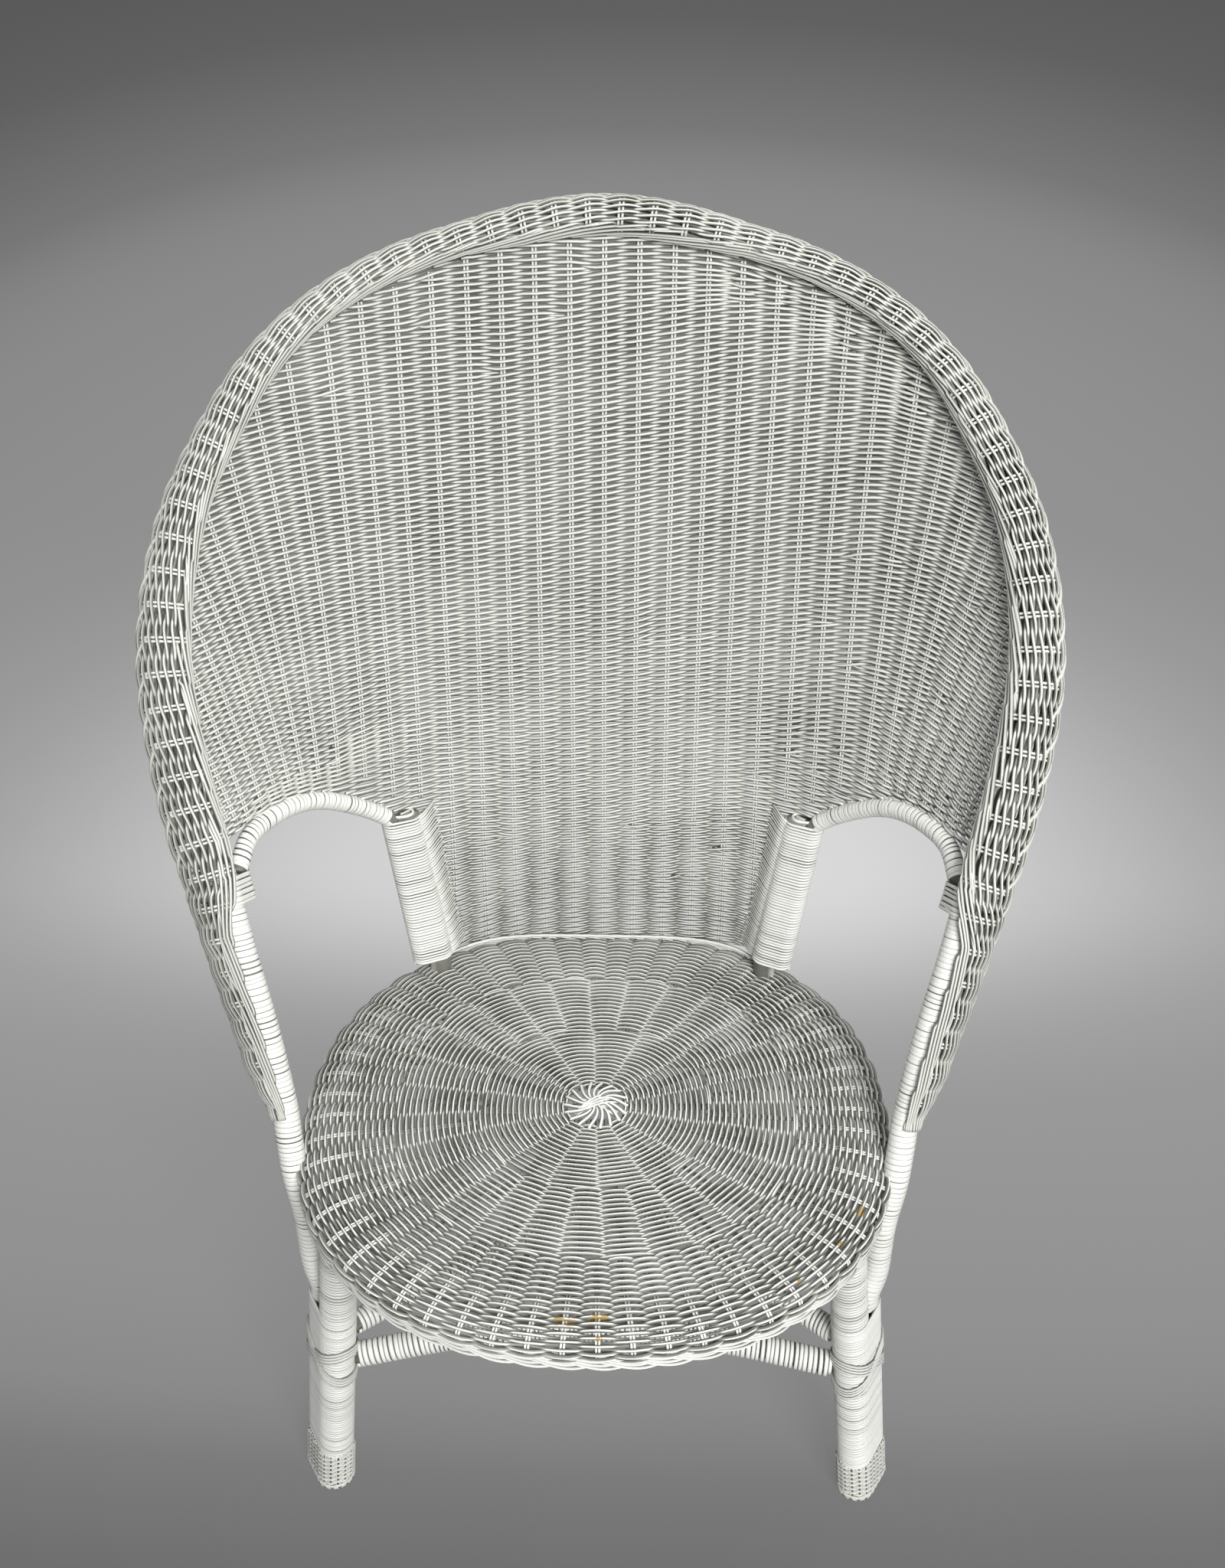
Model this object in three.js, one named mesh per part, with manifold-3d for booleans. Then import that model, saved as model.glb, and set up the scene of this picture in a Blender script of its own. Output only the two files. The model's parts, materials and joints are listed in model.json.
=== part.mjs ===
// Painted wicker armchair with a tall fan back, a round woven seat and four cane-wrapped legs.
// Millimetres, +Z up and +Y towards the back of the chair. +X is on the right of someone who looks
// at the chair from the front, and the pieces whose names end in right lie there.
import * as THREE from 'three';
import { mergeVertices } from 'three/addons/utils/BufferGeometryUtils.js';
import Module from 'manifold-3d';

const wasm = await Module();
wasm.setup();

// Overall frame sizes
const seatHeight = 430; // crown of the seat above the floor
const seatHalfWidth = 272;
const seatFrontReach = 256; // knot to the front rim
const seatRearReach = 270; // knot to the rear rim
const hoopRise = 700; // crown of the seat to the middle of the hoop's top
const hoopWidthShare = 1.3456; // hoop's rod at its widest, as a share of the seat's half width
const hoopFootShare = 0.1836; // how far before the knot the hoop stands, as a share of the front
const hoopLeanBack = 415; // how far back the hoop's top lies from there
const backFootShare = 0.9481; // back panel at the seat's height, as a share of the rear reach
const backLean = 107; // how far back the panel's top lies from there
const hoopHalfWidth = seatHalfWidth * hoopWidthShare;
const hoopFootY = -seatFrontReach * hoopFootShare;
const backFootY = seatRearReach * backFootShare;

// Seat
const seatDepth = 36; // woven top at the knot down to the rim's underside
const seatShell = 5;
const knotRadius = 27;
const knotHeight = 4;
const seatBraidWidth = 13;
const seatBraidHeight = 18;
const seatRingRod = 22;
const seatBarRod = 16;
const seatBarShare = 0.332; // each bar's distance from the knot, as a share of the front reach
const seatBarY = seatFrontReach * seatBarShare;
const frontSquareShare = 2.2; // how square the front half of the rim is, 2 is round
const backSquareShare = 2.4;
const ringShare = 0.842; // seat ring's middle as a share of the rim's distance
const seatTopShares = [[0, 0], [0.5, 0.03], [0.8, 0.11], [0.9, 0.17], [0.96, 0.27], [1, 0.47]];

// Rods
const legRod = 30;
const hoopRod = 22;
const rearRod = 22;
const archRod = 15;
const stretcherRod = 20;
const braceRod = 18;

// Cane wrapping and woven parts
const caneThickness = 1.4;
const sleeveWall = 1.2;
const panelThickness = 5;
const panelRib = 2; // rise of the weave over an upright stake, on each face
const seatRib = 2; // rise of the weave over an arm of the seat
const borderWall = 3.4; // the rolled border's wall beside its rod
const footBraidRod = 8;
const legLoops = 16;
const postLoops = 12;
const caneGap = 0.7; // between neighbouring turns of a winding
const clearance = 0.3; // between pieces that touch
const sideGap = 0.4; // between two rods that run side by side
const edgeGap = 3.4; // between the panel's edge and the rods below it
const panelRodGap = 1.2; // between the panel's edge and the hoop's rod
const stretcherEndGap = 0.96; // between a stretcher's end and the wrapped leg
const wrapSpare = 0.21; // room outside a leg's winding
const braceCrossGap = 0.85; // between the two braces where they cross
const archEndGap = 2.4; // between the arch's end and the wrapped hoop
const postCapRise = 15.4; // post's top to the panel's edge above it

// Legs and feet
const legFootShares = [0.9743, 0.3945]; // shares of the seat's half width and front reach
const legTopShares = [0.8191, 0.4102];
const legFootX = seatHalfWidth * legFootShares[0];
const legFootY = -seatFrontReach * legFootShares[1];
const legTopX = seatHalfWidth * legTopShares[0];
const legTopY = -seatFrontReach * legTopShares[1];
const legPairTurn = THREE.MathUtils.degToRad(48.7); // from the leg to the hoop's rod behind it
const legJointHeight = 274; // up to here the hoop's rod runs beside the leg
const rearFootShares = [0.6912, 0.9556]; // shares of the seat's half width and rear reach
const rearKneeShares = [0.6544, 0.8593];
const rearFootX = seatHalfWidth * rearFootShares[0];
const rearFootY = seatRearReach * rearFootShares[1];
const rearKneeX = seatHalfWidth * rearKneeShares[0];
const rearKneeY = seatRearReach * rearKneeShares[1];
const rearKneeHeight = 200;
const rearTurn = THREE.MathUtils.degToRad(50.4); // direction of the rear leg from the knot
const sockHeight = 54;
const sockWall = 2.6;
const sockFloor = 3;
const legWrapStart = 60;

// Rear posts and side arches
const postTopShares = [0.7118, 0.8519]; // shares of the seat's half width and rear reach
const postTopX = seatHalfWidth * postTopShares[0];
const postTopY = seatRearReach * postTopShares[1];
const postHeight = 162; // crown of the seat to the post's top
const postFootRise = 6; // crown of the seat to the post's straight run
const postPairTurn = THREE.MathUtils.degToRad(-36.9); // from the rear leg to the arch's rod
const archWidthShare = 0.4081; // post's top to the arch's shoulder, as a share of the seat
const archWidth = seatHalfWidth * archWidthShare;
const archRise = 71;
const archEndRise = 216; // crown of the seat to the arch's end at the hoop
const archEndTurn = THREE.MathUtils.degToRad(104.5);
const archTipShare = 0.53; // panel's tip: share of the arch's length past the post's top
const armWrapBottomRise = 27; // crown of the seat to the arm wrapping's lower end
const armWrapTopRise = 196;
const borderFootRise = 18; // crown of the seat to the border's lower ends

// Stretchers and braces
const frontStretcherHeight = 196;
const frontStretcherBow = 16; // rise of its middle
const frontStretcherSet = 22; // its middle lies this far behind its ends
const rearStretcherHeight = 150;
const braceHeight = 226;
const bowShare = 0.75; // part of the bow that the front stretcher has at its quarters

// Half of the hoop, from the seat up to its top: shares of the half width and of the rise
const hoopShares = [
  [0.757, 0.036], [0.795, 0.14], [0.8415, 0.2314], [0.885, 0.3186], [0.921, 0.3714],
  [0.959, 0.443], [0.989, 0.514], [1, 0.571], [0.992, 0.643], [0.959, 0.717],
  [0.888, 0.7916], [0.802, 0.8536], [0.6818, 0.9056], [0.5144, 0.9493], [0.2854, 0.982],
];
// The hoop's shoulder beside the seat: shares of the half width, the front reach and the height
const shoulderShares = [
  [0.952, -0.3125, 0.698], [0.963, -0.285, 0.8326], [0.993, -0.242, 0.93], [1.007, -0.195, 1],
];
const hoopLeanShare = 0.484; // part of the lean that grows evenly with height
const curlShare = 4.2; // how late the wings curl forward, at the seat
const curlFallShare = 1.5; // and how much sooner at the top
const curlLimitShare = 1.15; // the curl goes on this far past the hoop
const borderInsideShare = 0.975; // where the border reads the panel's slope
const borderTurnShares = [0.25, 0.38]; // heights between which the border turns to the panel's edge
// The border's reach beyond the rod's middle, in hoop rod diameters, against height above the seat
const borderReachShares = [
  [0, 0.82], [0.036, 0.84], [0.1, 1.2], [0.186, 1.38], [0.3, 1.56], [0.41, 1.57],
  [0.5, 1.5], [0.56, 1.43], [0.63, 1.31], [0.7, 1.15], [0.75, 1.02], [0.81, 0.93],
  [0.865, 0.83], [0.91, 0.79], [0.975, 0.77], [0.99, 0.92], [1, 0.98],
];
// How much of the border's span lies before the arms, at their feet and at the arches' ends
const armFrontShares = [0.83, 0.52];
// The side arch, from the post's top outwards: shares of its width and rise
const archShares = [
  [0.13, 0.225], [0.32, 0.53], [0.475, 0.75], [0.62, 0.9], [0.768, 0.985], [0.915, 0.985],
];
// Where the panel's columns meet the hoop: shares of the columns and of the hoop's line
const panelMatchShares = [[0, 0], [0.286, 0.231], [0.371, 0.282], [0.6, 0.513], [0.771, 0.678],
  [0.886, 0.755], [0.943, 0.83], [1, 1]];
// How much of the seat's rib stands at a share of the way out to its rim
const seatRibShares = [[0, 0], [0.4, 1], [0.96, 1], [1, 0]];

// Counts
const sideSamples = 400; // readings of the hoop's half width
const rodSides = 8;
const poleSides = 12;
const sleeveSides = 8;
const ringSteps = 36;
const latheSteps = 64;
const hoopSteps = 80;
const rearSteps = 16;
const archSteps = 13;
const borderSteps = 40;
const armBorderSteps = 5;
const panelColumns = [10, 3, 22]; // in each half: on the seat, beside the post, over the arch
const panelRows = 8;
const loopSteps = 10;

const halfTurn = Math.PI;
const legRadius = legRod / 2;
const hoopRadius = hoopRod / 2;
const rearRadius = rearRod / 2;
const archRadius = archRod / 2;
const seatTop = seatHeight - knotHeight;
const rimBottom = seatTop - seatDepth;
const hoopTop = seatHeight + hoopRise;
const postTop = seatHeight + postHeight;

// Materials, all painted off-white
const paint = (color, roughness) =>
  new THREE.MeshStandardMaterial({ color, roughness, metalness: 0 });
const weavePaint = paint(0xdfe0d8, 0.5);
const canePaint = paint(0xe4e4dc, 0.42);
const rodPaint = paint(0xd6d5c9, 0.55);

const chair = new THREE.Group();

function place(name, geometry, material) {
  const merged = geometry.clone();
  for (const key of ['normal', 'uv']) if (merged.attributes[key]) merged.deleteAttribute(key);
  const solid = mergeVertices(merged);
  solid.computeVertexNormals();
  const mesh = new THREE.Mesh(solid, material);
  mesh.name = name;
  chair.add(mesh);
}

// The same solid on the other side of the chair
function mirrored(geometry) {
  const flat = geometry.index ? geometry.toNonIndexed() : geometry.clone();
  const p = flat.attributes.position;
  const out = new Float32Array(p.count * 3);
  for (let i = 0; i < p.count; i += 3) {
    [i, i + 2, i + 1].forEach((from, k) => {
      out.set([-p.getX(from), p.getY(from), p.getZ(from)], (i + k) * 3);
    });
  }
  const result = new THREE.BufferGeometry();
  result.setAttribute('position', new THREE.BufferAttribute(out, 3));
  return result;
}

// The geometry given is the one at +X
function placePair(name, geometry, material) {
  place(`${name}_right`, geometry, material);
  place(`${name}_left`, mirrored(geometry), material);
}

// Boolean cuts
function toSolid(geometry) {
  const g = geometry.clone();
  for (const key of ['normal', 'uv']) if (g.attributes[key]) g.deleteAttribute(key);
  const merged = mergeVertices(g);
  const numProp = 3;
  const vertProperties = new Float32Array(merged.attributes.position.array);
  const triVerts = new Uint32Array(merged.index.array);
  return new wasm.Manifold(new wasm.Mesh({ numProp, vertProperties, triVerts }));
}

function fromSolid(solid) {
  const mesh = solid.getMesh();
  const g = new THREE.BufferGeometry();
  g.setAttribute('position', new THREE.BufferAttribute(mesh.vertProperties, 3));
  g.setIndex(new THREE.BufferAttribute(mesh.triVerts, 1));
  return g;
}

function cut(geometry, ...tools) {
  return fromSolid(tools.reduce((s, tool) => s.subtract(toSolid(tool)), toSolid(geometry)));
}

// Straight-line reading of a table of [place, value]
function readTable(table, at) {
  let i = 1;
  while (i < table.length - 1 && table[i][0] < at) i += 1;
  const [a, b] = [table[i - 1], table[i]];
  const share = THREE.MathUtils.clamp((at - a[0]) / (b[0] - a[0]), 0, 1);
  return a[1] + (b[1] - a[1]) * share;
}

// Corners of a many-sided ring, turned by a share of one side
function ring(radius, sides, turnShare = 0) {
  return Array.from({ length: sides }, (_, i) => {
    const a = (2 * halfTurn * (i + turnShare)) / sides;
    return new THREE.Vector2(radius * Math.cos(a), radius * Math.sin(a));
  });
}

// Smallest many-sided bore that clears a round rod
const boreFor = (radius, sides) => (radius + clearance) / Math.cos(halfTurn / sides);

function rodAlong(curve, radius, sides, steps) {
  const shape = new THREE.Shape(ring(radius, sides));
  return new THREE.ExtrudeGeometry(shape, { steps, extrudePath: curve, bevelEnabled: false });
}

function sleeveAlong(curve, radius, wall, sides, steps, turnShare = 0.5) {
  const bore = boreFor(radius, sides);
  const shape = new THREE.Shape(ring(bore + wall, sides, turnShare));
  shape.holes.push(new THREE.Path(ring(bore, sides, turnShare).reverse()));
  return new THREE.ExtrudeGeometry(shape, { steps, extrudePath: curve, bevelEnabled: false });
}

// Part of a curve between two shares of its length
class CurveSpan extends THREE.Curve {
  constructor(curve, from, to) {
    super();
    Object.assign(this, { curve, from, to });
  }
  getPoint(t, target = new THREE.Vector3()) {
    return target.copy(this.curve.getPointAt(this.from + (this.to - this.from) * t));
  }
}

// Share of the length at which a curve's first rise passes a height
function shareAtHeight(curve, height) {
  const samples = 2000;
  for (let i = 0; i < samples; i += 1) {
    if (curve.getPointAt(i / samples).z >= height) return i / samples;
  }
  return 1;
}

const smooth = (points) => new THREE.CatmullRomCurve3(points, false, 'centripetal');

// A closed skin over rings of points, with flat ends
function loft(rings, endFaces) {
  const n = rings[0].length;
  const index = [];
  for (let i = 0; i + 1 < rings.length; i += 1) {
    for (let j = 0; j < n; j += 1) {
      const [a, b] = [i * n + j, i * n + ((j + 1) % n)];
      index.push(a, b, a + n, b, b + n, a + n);
    }
  }
  const last = (rings.length - 1) * n;
  for (const [a, b, c] of endFaces) {
    index.push(a, c, b, last + a, last + b, last + c);
  }
  return closedSkin(rings.flat(), index);
}

// Builds the geometry with its faces pointing out
function closedSkin(points, index) {
  const g = new THREE.BufferGeometry().setFromPoints(points);
  let volume = 0;
  for (let i = 0; i < index.length; i += 3) {
    const [a, b, c] = [points[index[i]], points[index[i + 1]], points[index[i + 2]]];
    volume += a.dot(new THREE.Vector3().crossVectors(b, c));
  }
  if (volume < 0) {
    for (let i = 0; i < index.length; i += 3) {
      [index[i + 1], index[i + 2]] = [index[i + 2], index[i + 1]];
    }
  }
  g.setIndex(index);
  return g;
}

// Seat rim: distance from the knot in a direction
function rimAt(angle) {
  const front = Math.sin(angle) < 0;
  const power = front ? frontSquareShare : backSquareShare;
  const reach = front ? seatFrontReach : seatRearReach;
  const across = Math.abs(Math.cos(angle)) / seatHalfWidth;
  const along = Math.abs(Math.sin(angle)) / reach;
  return (across ** power + along ** power) ** (-1 / power);
}

// Moves every point of a round solid out or in, so that it follows the rim
function followRim(geometry, newRadius) {
  const p = geometry.attributes.position;
  for (let i = 0; i < p.count; i += 1) {
    const [x, y] = [p.getX(i), p.getY(i)];
    const radius = Math.hypot(x, y);
    const angle = Math.atan2(y, x);
    const moved = radius > 0 ? newRadius(radius, angle) / radius : 1;
    p.setXY(i, x * moved, y * moved);
  }
  return geometry;
}

const seatTopAt = (share) => seatTop - seatDepth * readTable(seatTopShares, share);

// Front leg pole and the hoop's rod beside it
const legBottom = sockFloor + clearance;
const legTop = seatTopAt(ringShare) - seatShell - seatRingRod - 2 * clearance;
const legSlope = new THREE.Vector2(legTopX - legFootX, legTopY - legFootY).divideScalar(legTop);
const legAt = (z) => new THREE.Vector3(legFootX + legSlope.x * z, legFootY + legSlope.y * z, z);
const pairDistance = legRadius + hoopRadius + sideGap;
const pairOffset = new THREE.Vector3(
  pairDistance * Math.cos(legPairTurn), pairDistance * Math.sin(legPairTurn), 0);

// The hoop: up beside the leg, over the shoulder, round the back and down again
const hoopLeanAt = (z) => {
  const t = (z - seatHeight) / hoopRise;
  return hoopFootY + hoopLeanBack * (hoopLeanShare * t + (1 - hoopLeanShare) * t * t);
};
function hoopHalf() {
  const points = [];
  const tilt = hoopRadius * Math.hypot(legSlope.x, legSlope.y);
  const beside = legJointHeight - legBottom;
  const besideShares = [0, 0.08, 0.5, 0.92, 1];
  for (const share of besideShares) {
    points.push(legAt(legBottom + tilt + (beside - tilt) * share).add(pairOffset));
  }
  for (const [sx, sy, sz] of shoulderShares) {
    points.push(new THREE.Vector3(seatHalfWidth * sx, seatFrontReach * sy, seatHeight * sz));
  }
  for (const [sx, sz] of hoopShares) {
    const z = seatHeight + hoopRise * sz;
    points.push(new THREE.Vector3(hoopHalfWidth * sx, hoopLeanAt(z), z));
  }
  return points;
}
const flipX = (v) => new THREE.Vector3(-v.x, v.y, v.z);
const rightHalf = hoopHalf();
const hoopCurve = smooth([
  ...rightHalf, new THREE.Vector3(0, hoopLeanAt(hoopTop), hoopTop), ...rightHalf.map(flipX).reverse(),
]);
hoopCurve.arcLengthDivisions = 1200;

// Half width of the hoop at a height, read from the finished curve
const sideStartShare = 0.9;
const hoopSide = Array.from({ length: sideSamples },
  (_, i) => hoopCurve.getPointAt(i / (2 * sideSamples)))
  .filter((p) => p.z > seatHeight * sideStartShare);
hoopSide.push(new THREE.Vector3(0, hoopLeanAt(hoopTop), hoopTop));
const hoopWidthTable = hoopSide.map((p) => [p.z, p.x]);
const hoopWidthAt = (z) => Math.max(readTable(hoopWidthTable, z), clearance);

// Middle surface of the woven back: how far back it lies at a place
function backAt(x, z) {
  const t = (z - seatHeight) / hoopRise;
  const middle = backFootY + backLean * t;
  const share = Math.abs(x) / hoopWidthAt(z);
  const curl = Math.min(share, curlLimitShare) ** (curlShare - curlFallShare * t);
  return middle - (middle - hoopLeanAt(z)) * curl;
}

// Front-facing normal of that surface
function backNormal(x, z) {
  const d = panelThickness / 2;
  const slopeX = (backAt(x + d, z) - backAt(x - d, z)) / (2 * d);
  const slopeZ = (backAt(x, z + d) - backAt(x, z - d)) / (2 * d);
  return new THREE.Vector3(slopeX, -1, slopeZ).normalize();
}

// Frame of the border at a share of the hoop's length, for the side at +X and the top
function borderFrame(share) {
  const point = hoopCurve.getPointAt(share);
  const tangent = hoopCurve.getTangentAt(share);
  const nearTop = Math.min(point.z, hoopTop - hoopRod);
  const normal = backNormal(Math.min(Math.abs(point.x), hoopWidthAt(nearTop))
    * borderInsideShare * (Math.sign(point.x) || 1), nearTop);
  const away = new THREE.Vector3(point.x, 0, point.z - (seatHeight + hoopRise / 2));
  const along = new THREE.Vector3().crossVectors(tangent, normal).normalize();
  if (along.dot(away) < 0) along.negate();
  const t = (point.z - seatHeight) / hoopRise;
  const rise = (hoopLeanAt(point.z + hoopRadius) - hoopLeanAt(point.z - hoopRadius)) / hoopRod;
  const sheet = new THREE.Vector3(0, -1, rise).normalize();
  const across = new THREE.Vector3().crossVectors(tangent, sheet).normalize();
  if (across.dot(away) < 0) across.negate();
  const blend = THREE.MathUtils.smoothstep(t, ...borderTurnShares);
  const out = across.clone().addScaledVector(along, blend).normalize();
  const side = new THREE.Vector3().crossVectors(tangent, out).normalize();
  return { point, tangent, along, out, side, t };
}

// Two rods side by side: a point on the line round both, for a turn that runs from 0 to 1
function roundPair(turn, gapBetween, first, second) {
  const half = loopSteps / 2;
  const step = Math.round(turn * loopSteps) % loopSteps;
  const onSecond = step < half;
  const arc = halfTurn / (half - 1);
  const angle = onSecond ? -halfTurn / 2 + arc * step : halfTurn / 2 + arc * (step - half);
  const radius = onSecond ? second : first;
  return {
    x: (onSecond ? gapBetween : 0) + radius * Math.cos(angle),
    y: radius * Math.sin(angle),
    nx: Math.cos(angle),
    ny: Math.sin(angle),
  };
}

// A flat cane wound round two rods that run side by side, as one unbroken band
function winding(name, start, end, toSecond, distance, radii, loops) {
  const axis = new THREE.Vector3().subVectors(end, start);
  const length = axis.length();
  axis.normalize();
  const u = toSecond.clone().addScaledVector(axis, -toSecond.dot(axis)).normalize();
  const v = new THREE.Vector3().crossVectors(axis, u);
  const pitch = length / (loops + 1);
  const width = pitch - caneGap;
  const slack = Math.cos(halfTurn / 2 / (loopSteps / 2 - 1));
  const [first, second] = radii.map((r) => (r + clearance) / slack);
  const rings = [];
  for (let i = 0; i <= loops * loopSteps; i += 1) {
    const p = roundPair((i % loopSteps) / loopSteps, distance, first, second);
    const low = (pitch * i) / loopSteps;
    const corner = (depth, rise) => start.clone()
      .addScaledVector(u, p.x + p.nx * depth).addScaledVector(v, p.y + p.ny * depth)
      .addScaledVector(axis, rise);
    rings.push([corner(0, low), corner(caneThickness, low),
      corner(caneThickness, low + width), corner(0, low + width)]);
  }
  console.log(`${name}: least gap to itself ${leastGap(rings).toFixed(2)} mm`);
  return loft(rings, [[0, 1, 2], [0, 2, 3]]);
}

// Least distance between the edges of one turn and those of the others, on sampled points
function leastGap(rings) {
  const parts = 4;
  let least = Infinity;
  const sampled = rings.map((r) => r.flatMap((a, k) => Array.from({ length: parts },
    (_, j) => a.clone().lerp(r[(k + 1) % r.length], j / parts))));
  for (let i = 0; i < rings.length; i += 1) {
    for (let j = i + loopSteps - 1; j < Math.min(i + loopSteps + 2, rings.length); j += 1) {
      for (const a of sampled[i]) for (const b of sampled[j]) {
        least = Math.min(least, a.distanceTo(b));
      }
    }
  }
  return least;
}

// Outline round one or two rods, for the woven foot socks
function sockOutline(distance, first, second, grow) {
  const points = [];
  for (let i = 0; i < loopSteps; i += 1) {
    const p = roundPair(i / loopSteps, distance, first + grow, second + grow);
    points.push(new THREE.Vector2(p.x, p.y));
  }
  return new THREE.Shape(points);
}

// A cup with a flat floor, leaning with its leg
function footSock(foot, slope, turn, distance, first, second) {
  const slack = Math.cos(halfTurn / 2 / (loopSteps / 2 - 1));
  const bore = (radius) => (radius + clearance) / slack - radius;
  const inner = sockOutline(distance, first, second, bore(first));
  const outer = sockOutline(distance, first, second, bore(first) + sockWall);
  const lean = new THREE.Matrix4().makeShear(0, 0, 0, 0, 0, 0);
  lean.elements[8] = slope.x;
  lean.elements[9] = slope.y;
  const put = (shape, low, high) => new THREE.ExtrudeGeometry(shape,
    { depth: high - low, bevelEnabled: false }).rotateZ(turn).translate(0, 0, low)
    .applyMatrix4(lean).translate(foot.x, foot.y, 0);
  return cut(put(outer, 0, sockHeight), put(inner, sockFloor, sockHeight + sockWall));
}

function makeHoop() {
  place('hoop_rod', rodAlong(hoopCurve, hoopRadius, rodSides, hoopSteps), rodPaint);
}

function leaningPole(from, to, radius, sides) {
  const height = to.z - from.z;
  const g = new THREE.CylinderGeometry(radius, radius, height, sides).rotateX(halfTurn / 2)
    .translate(0, 0, height / 2);
  const lean = new THREE.Matrix4();
  lean.elements[8] = (to.x - from.x) / height;
  lean.elements[9] = (to.y - from.y) / height;
  return g.applyMatrix4(lean).translate(from.x, from.y, from.z);
}

function makeFrontLegs() {
  placePair('front_leg_pole',
    leaningPole(legAt(legBottom), legAt(legTop), legRadius, poleSides), rodPaint);
  const band = winding('front_leg_wrap', legAt(legWrapStart), legAt(legJointHeight - hoopRod),
    pairOffset, pairDistance, [legRadius, hoopRadius], legLoops);
  placePair('front_leg_wrap', band, canePaint);
  placePair('front_foot_sock', footSock(legAt(0), legSlope, legPairTurn, pairDistance,
    legRadius, hoopRadius), weavePaint);
}

// Rear leg: from its foot past the seat ring and up as the inner post of the arm
const ringHeight = legTop + clearance + seatRingRod / 2;
const rearAtRing = ringShare * rimAt(rearTurn) + seatRingRod / 2 + clearance + rearRadius;
const rearSeat = new THREE.Vector3(
  rearAtRing * Math.cos(rearTurn), rearAtRing * Math.sin(rearTurn), ringHeight);
const postFoot = new THREE.Vector3(rearSeat.x, rearSeat.y, seatHeight + postFootRise);
const postHead = new THREE.Vector3(postTopX, postTopY, postTop);
const postAlong = new THREE.Vector3().subVectors(postHead, postFoot).normalize();
const postAt = (share) => postFoot.clone().lerp(postHead, share);
const rearFootSlope = new THREE.Vector2(
  (rearKneeX - rearFootX) / rearKneeHeight, (rearKneeY - rearFootY) / rearKneeHeight);
const rearTilt = rearRadius * rearFootSlope.length();
const rearBottom = legBottom + rearTilt;
const rearCurve = smooth([
  new THREE.Vector3(rearFootX + rearFootSlope.x * rearBottom,
    rearFootY + rearFootSlope.y * rearBottom, rearBottom),
  new THREE.Vector3(rearFootX + rearFootSlope.x * sockHeight,
    rearFootY + rearFootSlope.y * sockHeight, sockHeight),
  new THREE.Vector3(rearKneeX, rearKneeY, rearKneeHeight), rearSeat,
  postAt(-0.03), postAt(0), postAt(0.5), postAt(0.97), postAt(1),
]);
const postPair = rearRadius + archRadius + sideGap;
const postOffset = new THREE.Vector3(Math.cos(postPairTurn), Math.sin(postPairTurn), 0);
postOffset.addScaledVector(postAlong, -postOffset.dot(postAlong)).normalize()
  .multiplyScalar(postPair);

function makeRearLegs() {
  placePair('rear_leg_pole', rodAlong(rearCurve, rearRadius, rodSides, rearSteps), rodPaint);
  const low = shareAtHeight(rearCurve, legWrapStart);
  const high = shareAtHeight(rearCurve, rimBottom - seatRingRod);
  placePair('rear_leg_wrap', sleeveAlong(new CurveSpan(rearCurve, low, high), rearRadius,
    sleeveWall, sleeveSides, rearSteps / 2), canePaint);
  placePair('rear_foot_sock', footSock(new THREE.Vector3(rearFootX, rearFootY, 0), rearFootSlope,
    0, 0, rearRadius, rearRadius), weavePaint);
  const band = winding('back_post_wrap', postAt(0.04), postAt(0.985), postOffset, postPair,
    [rearRadius, archRadius], postLoops);
  placePair('back_post_wrap', band, canePaint);
}

// Side arch: its rod starts beside the rear leg, arches over and ends behind the hoop's rod
const archFoot = postAt(0).add(postOffset);
const archHead = postAt(1).add(postOffset);
const archEndHeight = seatHeight + archEndRise;
const hoopAtArchEnd = new THREE.Vector3(
  hoopWidthAt(archEndHeight), hoopLeanAt(archEndHeight), archEndHeight);
const archEndDistance = hoopRadius + sleeveWall + archRadius + sleeveWall + archEndGap;
const archEnd = hoopAtArchEnd.clone().add(new THREE.Vector3(
  archEndDistance * Math.cos(archEndTurn), archEndDistance * Math.sin(archEndTurn), 0));
const archArc = archShares.map(([sx, sz]) => {
  const [x, z] = [archHead.x + archWidth * sx, postTop + archRise * sz];
  return new THREE.Vector3(x, backAt(x, z), z);
});
const archCurve = smooth([
  archFoot, archFoot.clone().lerp(archHead, 0.5), archFoot.clone().lerp(archHead, 0.97), archHead,
  ...archArc, archEnd,
]);

function makeArches() {
  placePair('arm_arch_rod', rodAlong(archCurve, archRadius, rodSides, 2 * archSteps - 4), rodPaint);
  const low = shareAtHeight(archCurve, postTop + archRod / 2);
  const cover = new CurveSpan(archCurve, low, 1 - archRod / archCurve.getLength() / 2);
  placePair('arm_arch_wrap', sleeveAlong(cover, archRadius, sleeveWall / 2, sleeveSides,
    archSteps, 0), canePaint);
  const armLow = shareAtHeight(hoopCurve, seatHeight + armWrapBottomRise);
  const armHigh = shareAtHeight(hoopCurve, seatHeight + armWrapTopRise);
  placePair('arm_post_wrap', sleeveAlong(new CurveSpan(hoopCurve, armLow, armHigh), hoopRadius,
    sleeveWall, sleeveSides, rearSteps / 2, 0), canePaint);
}

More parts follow.
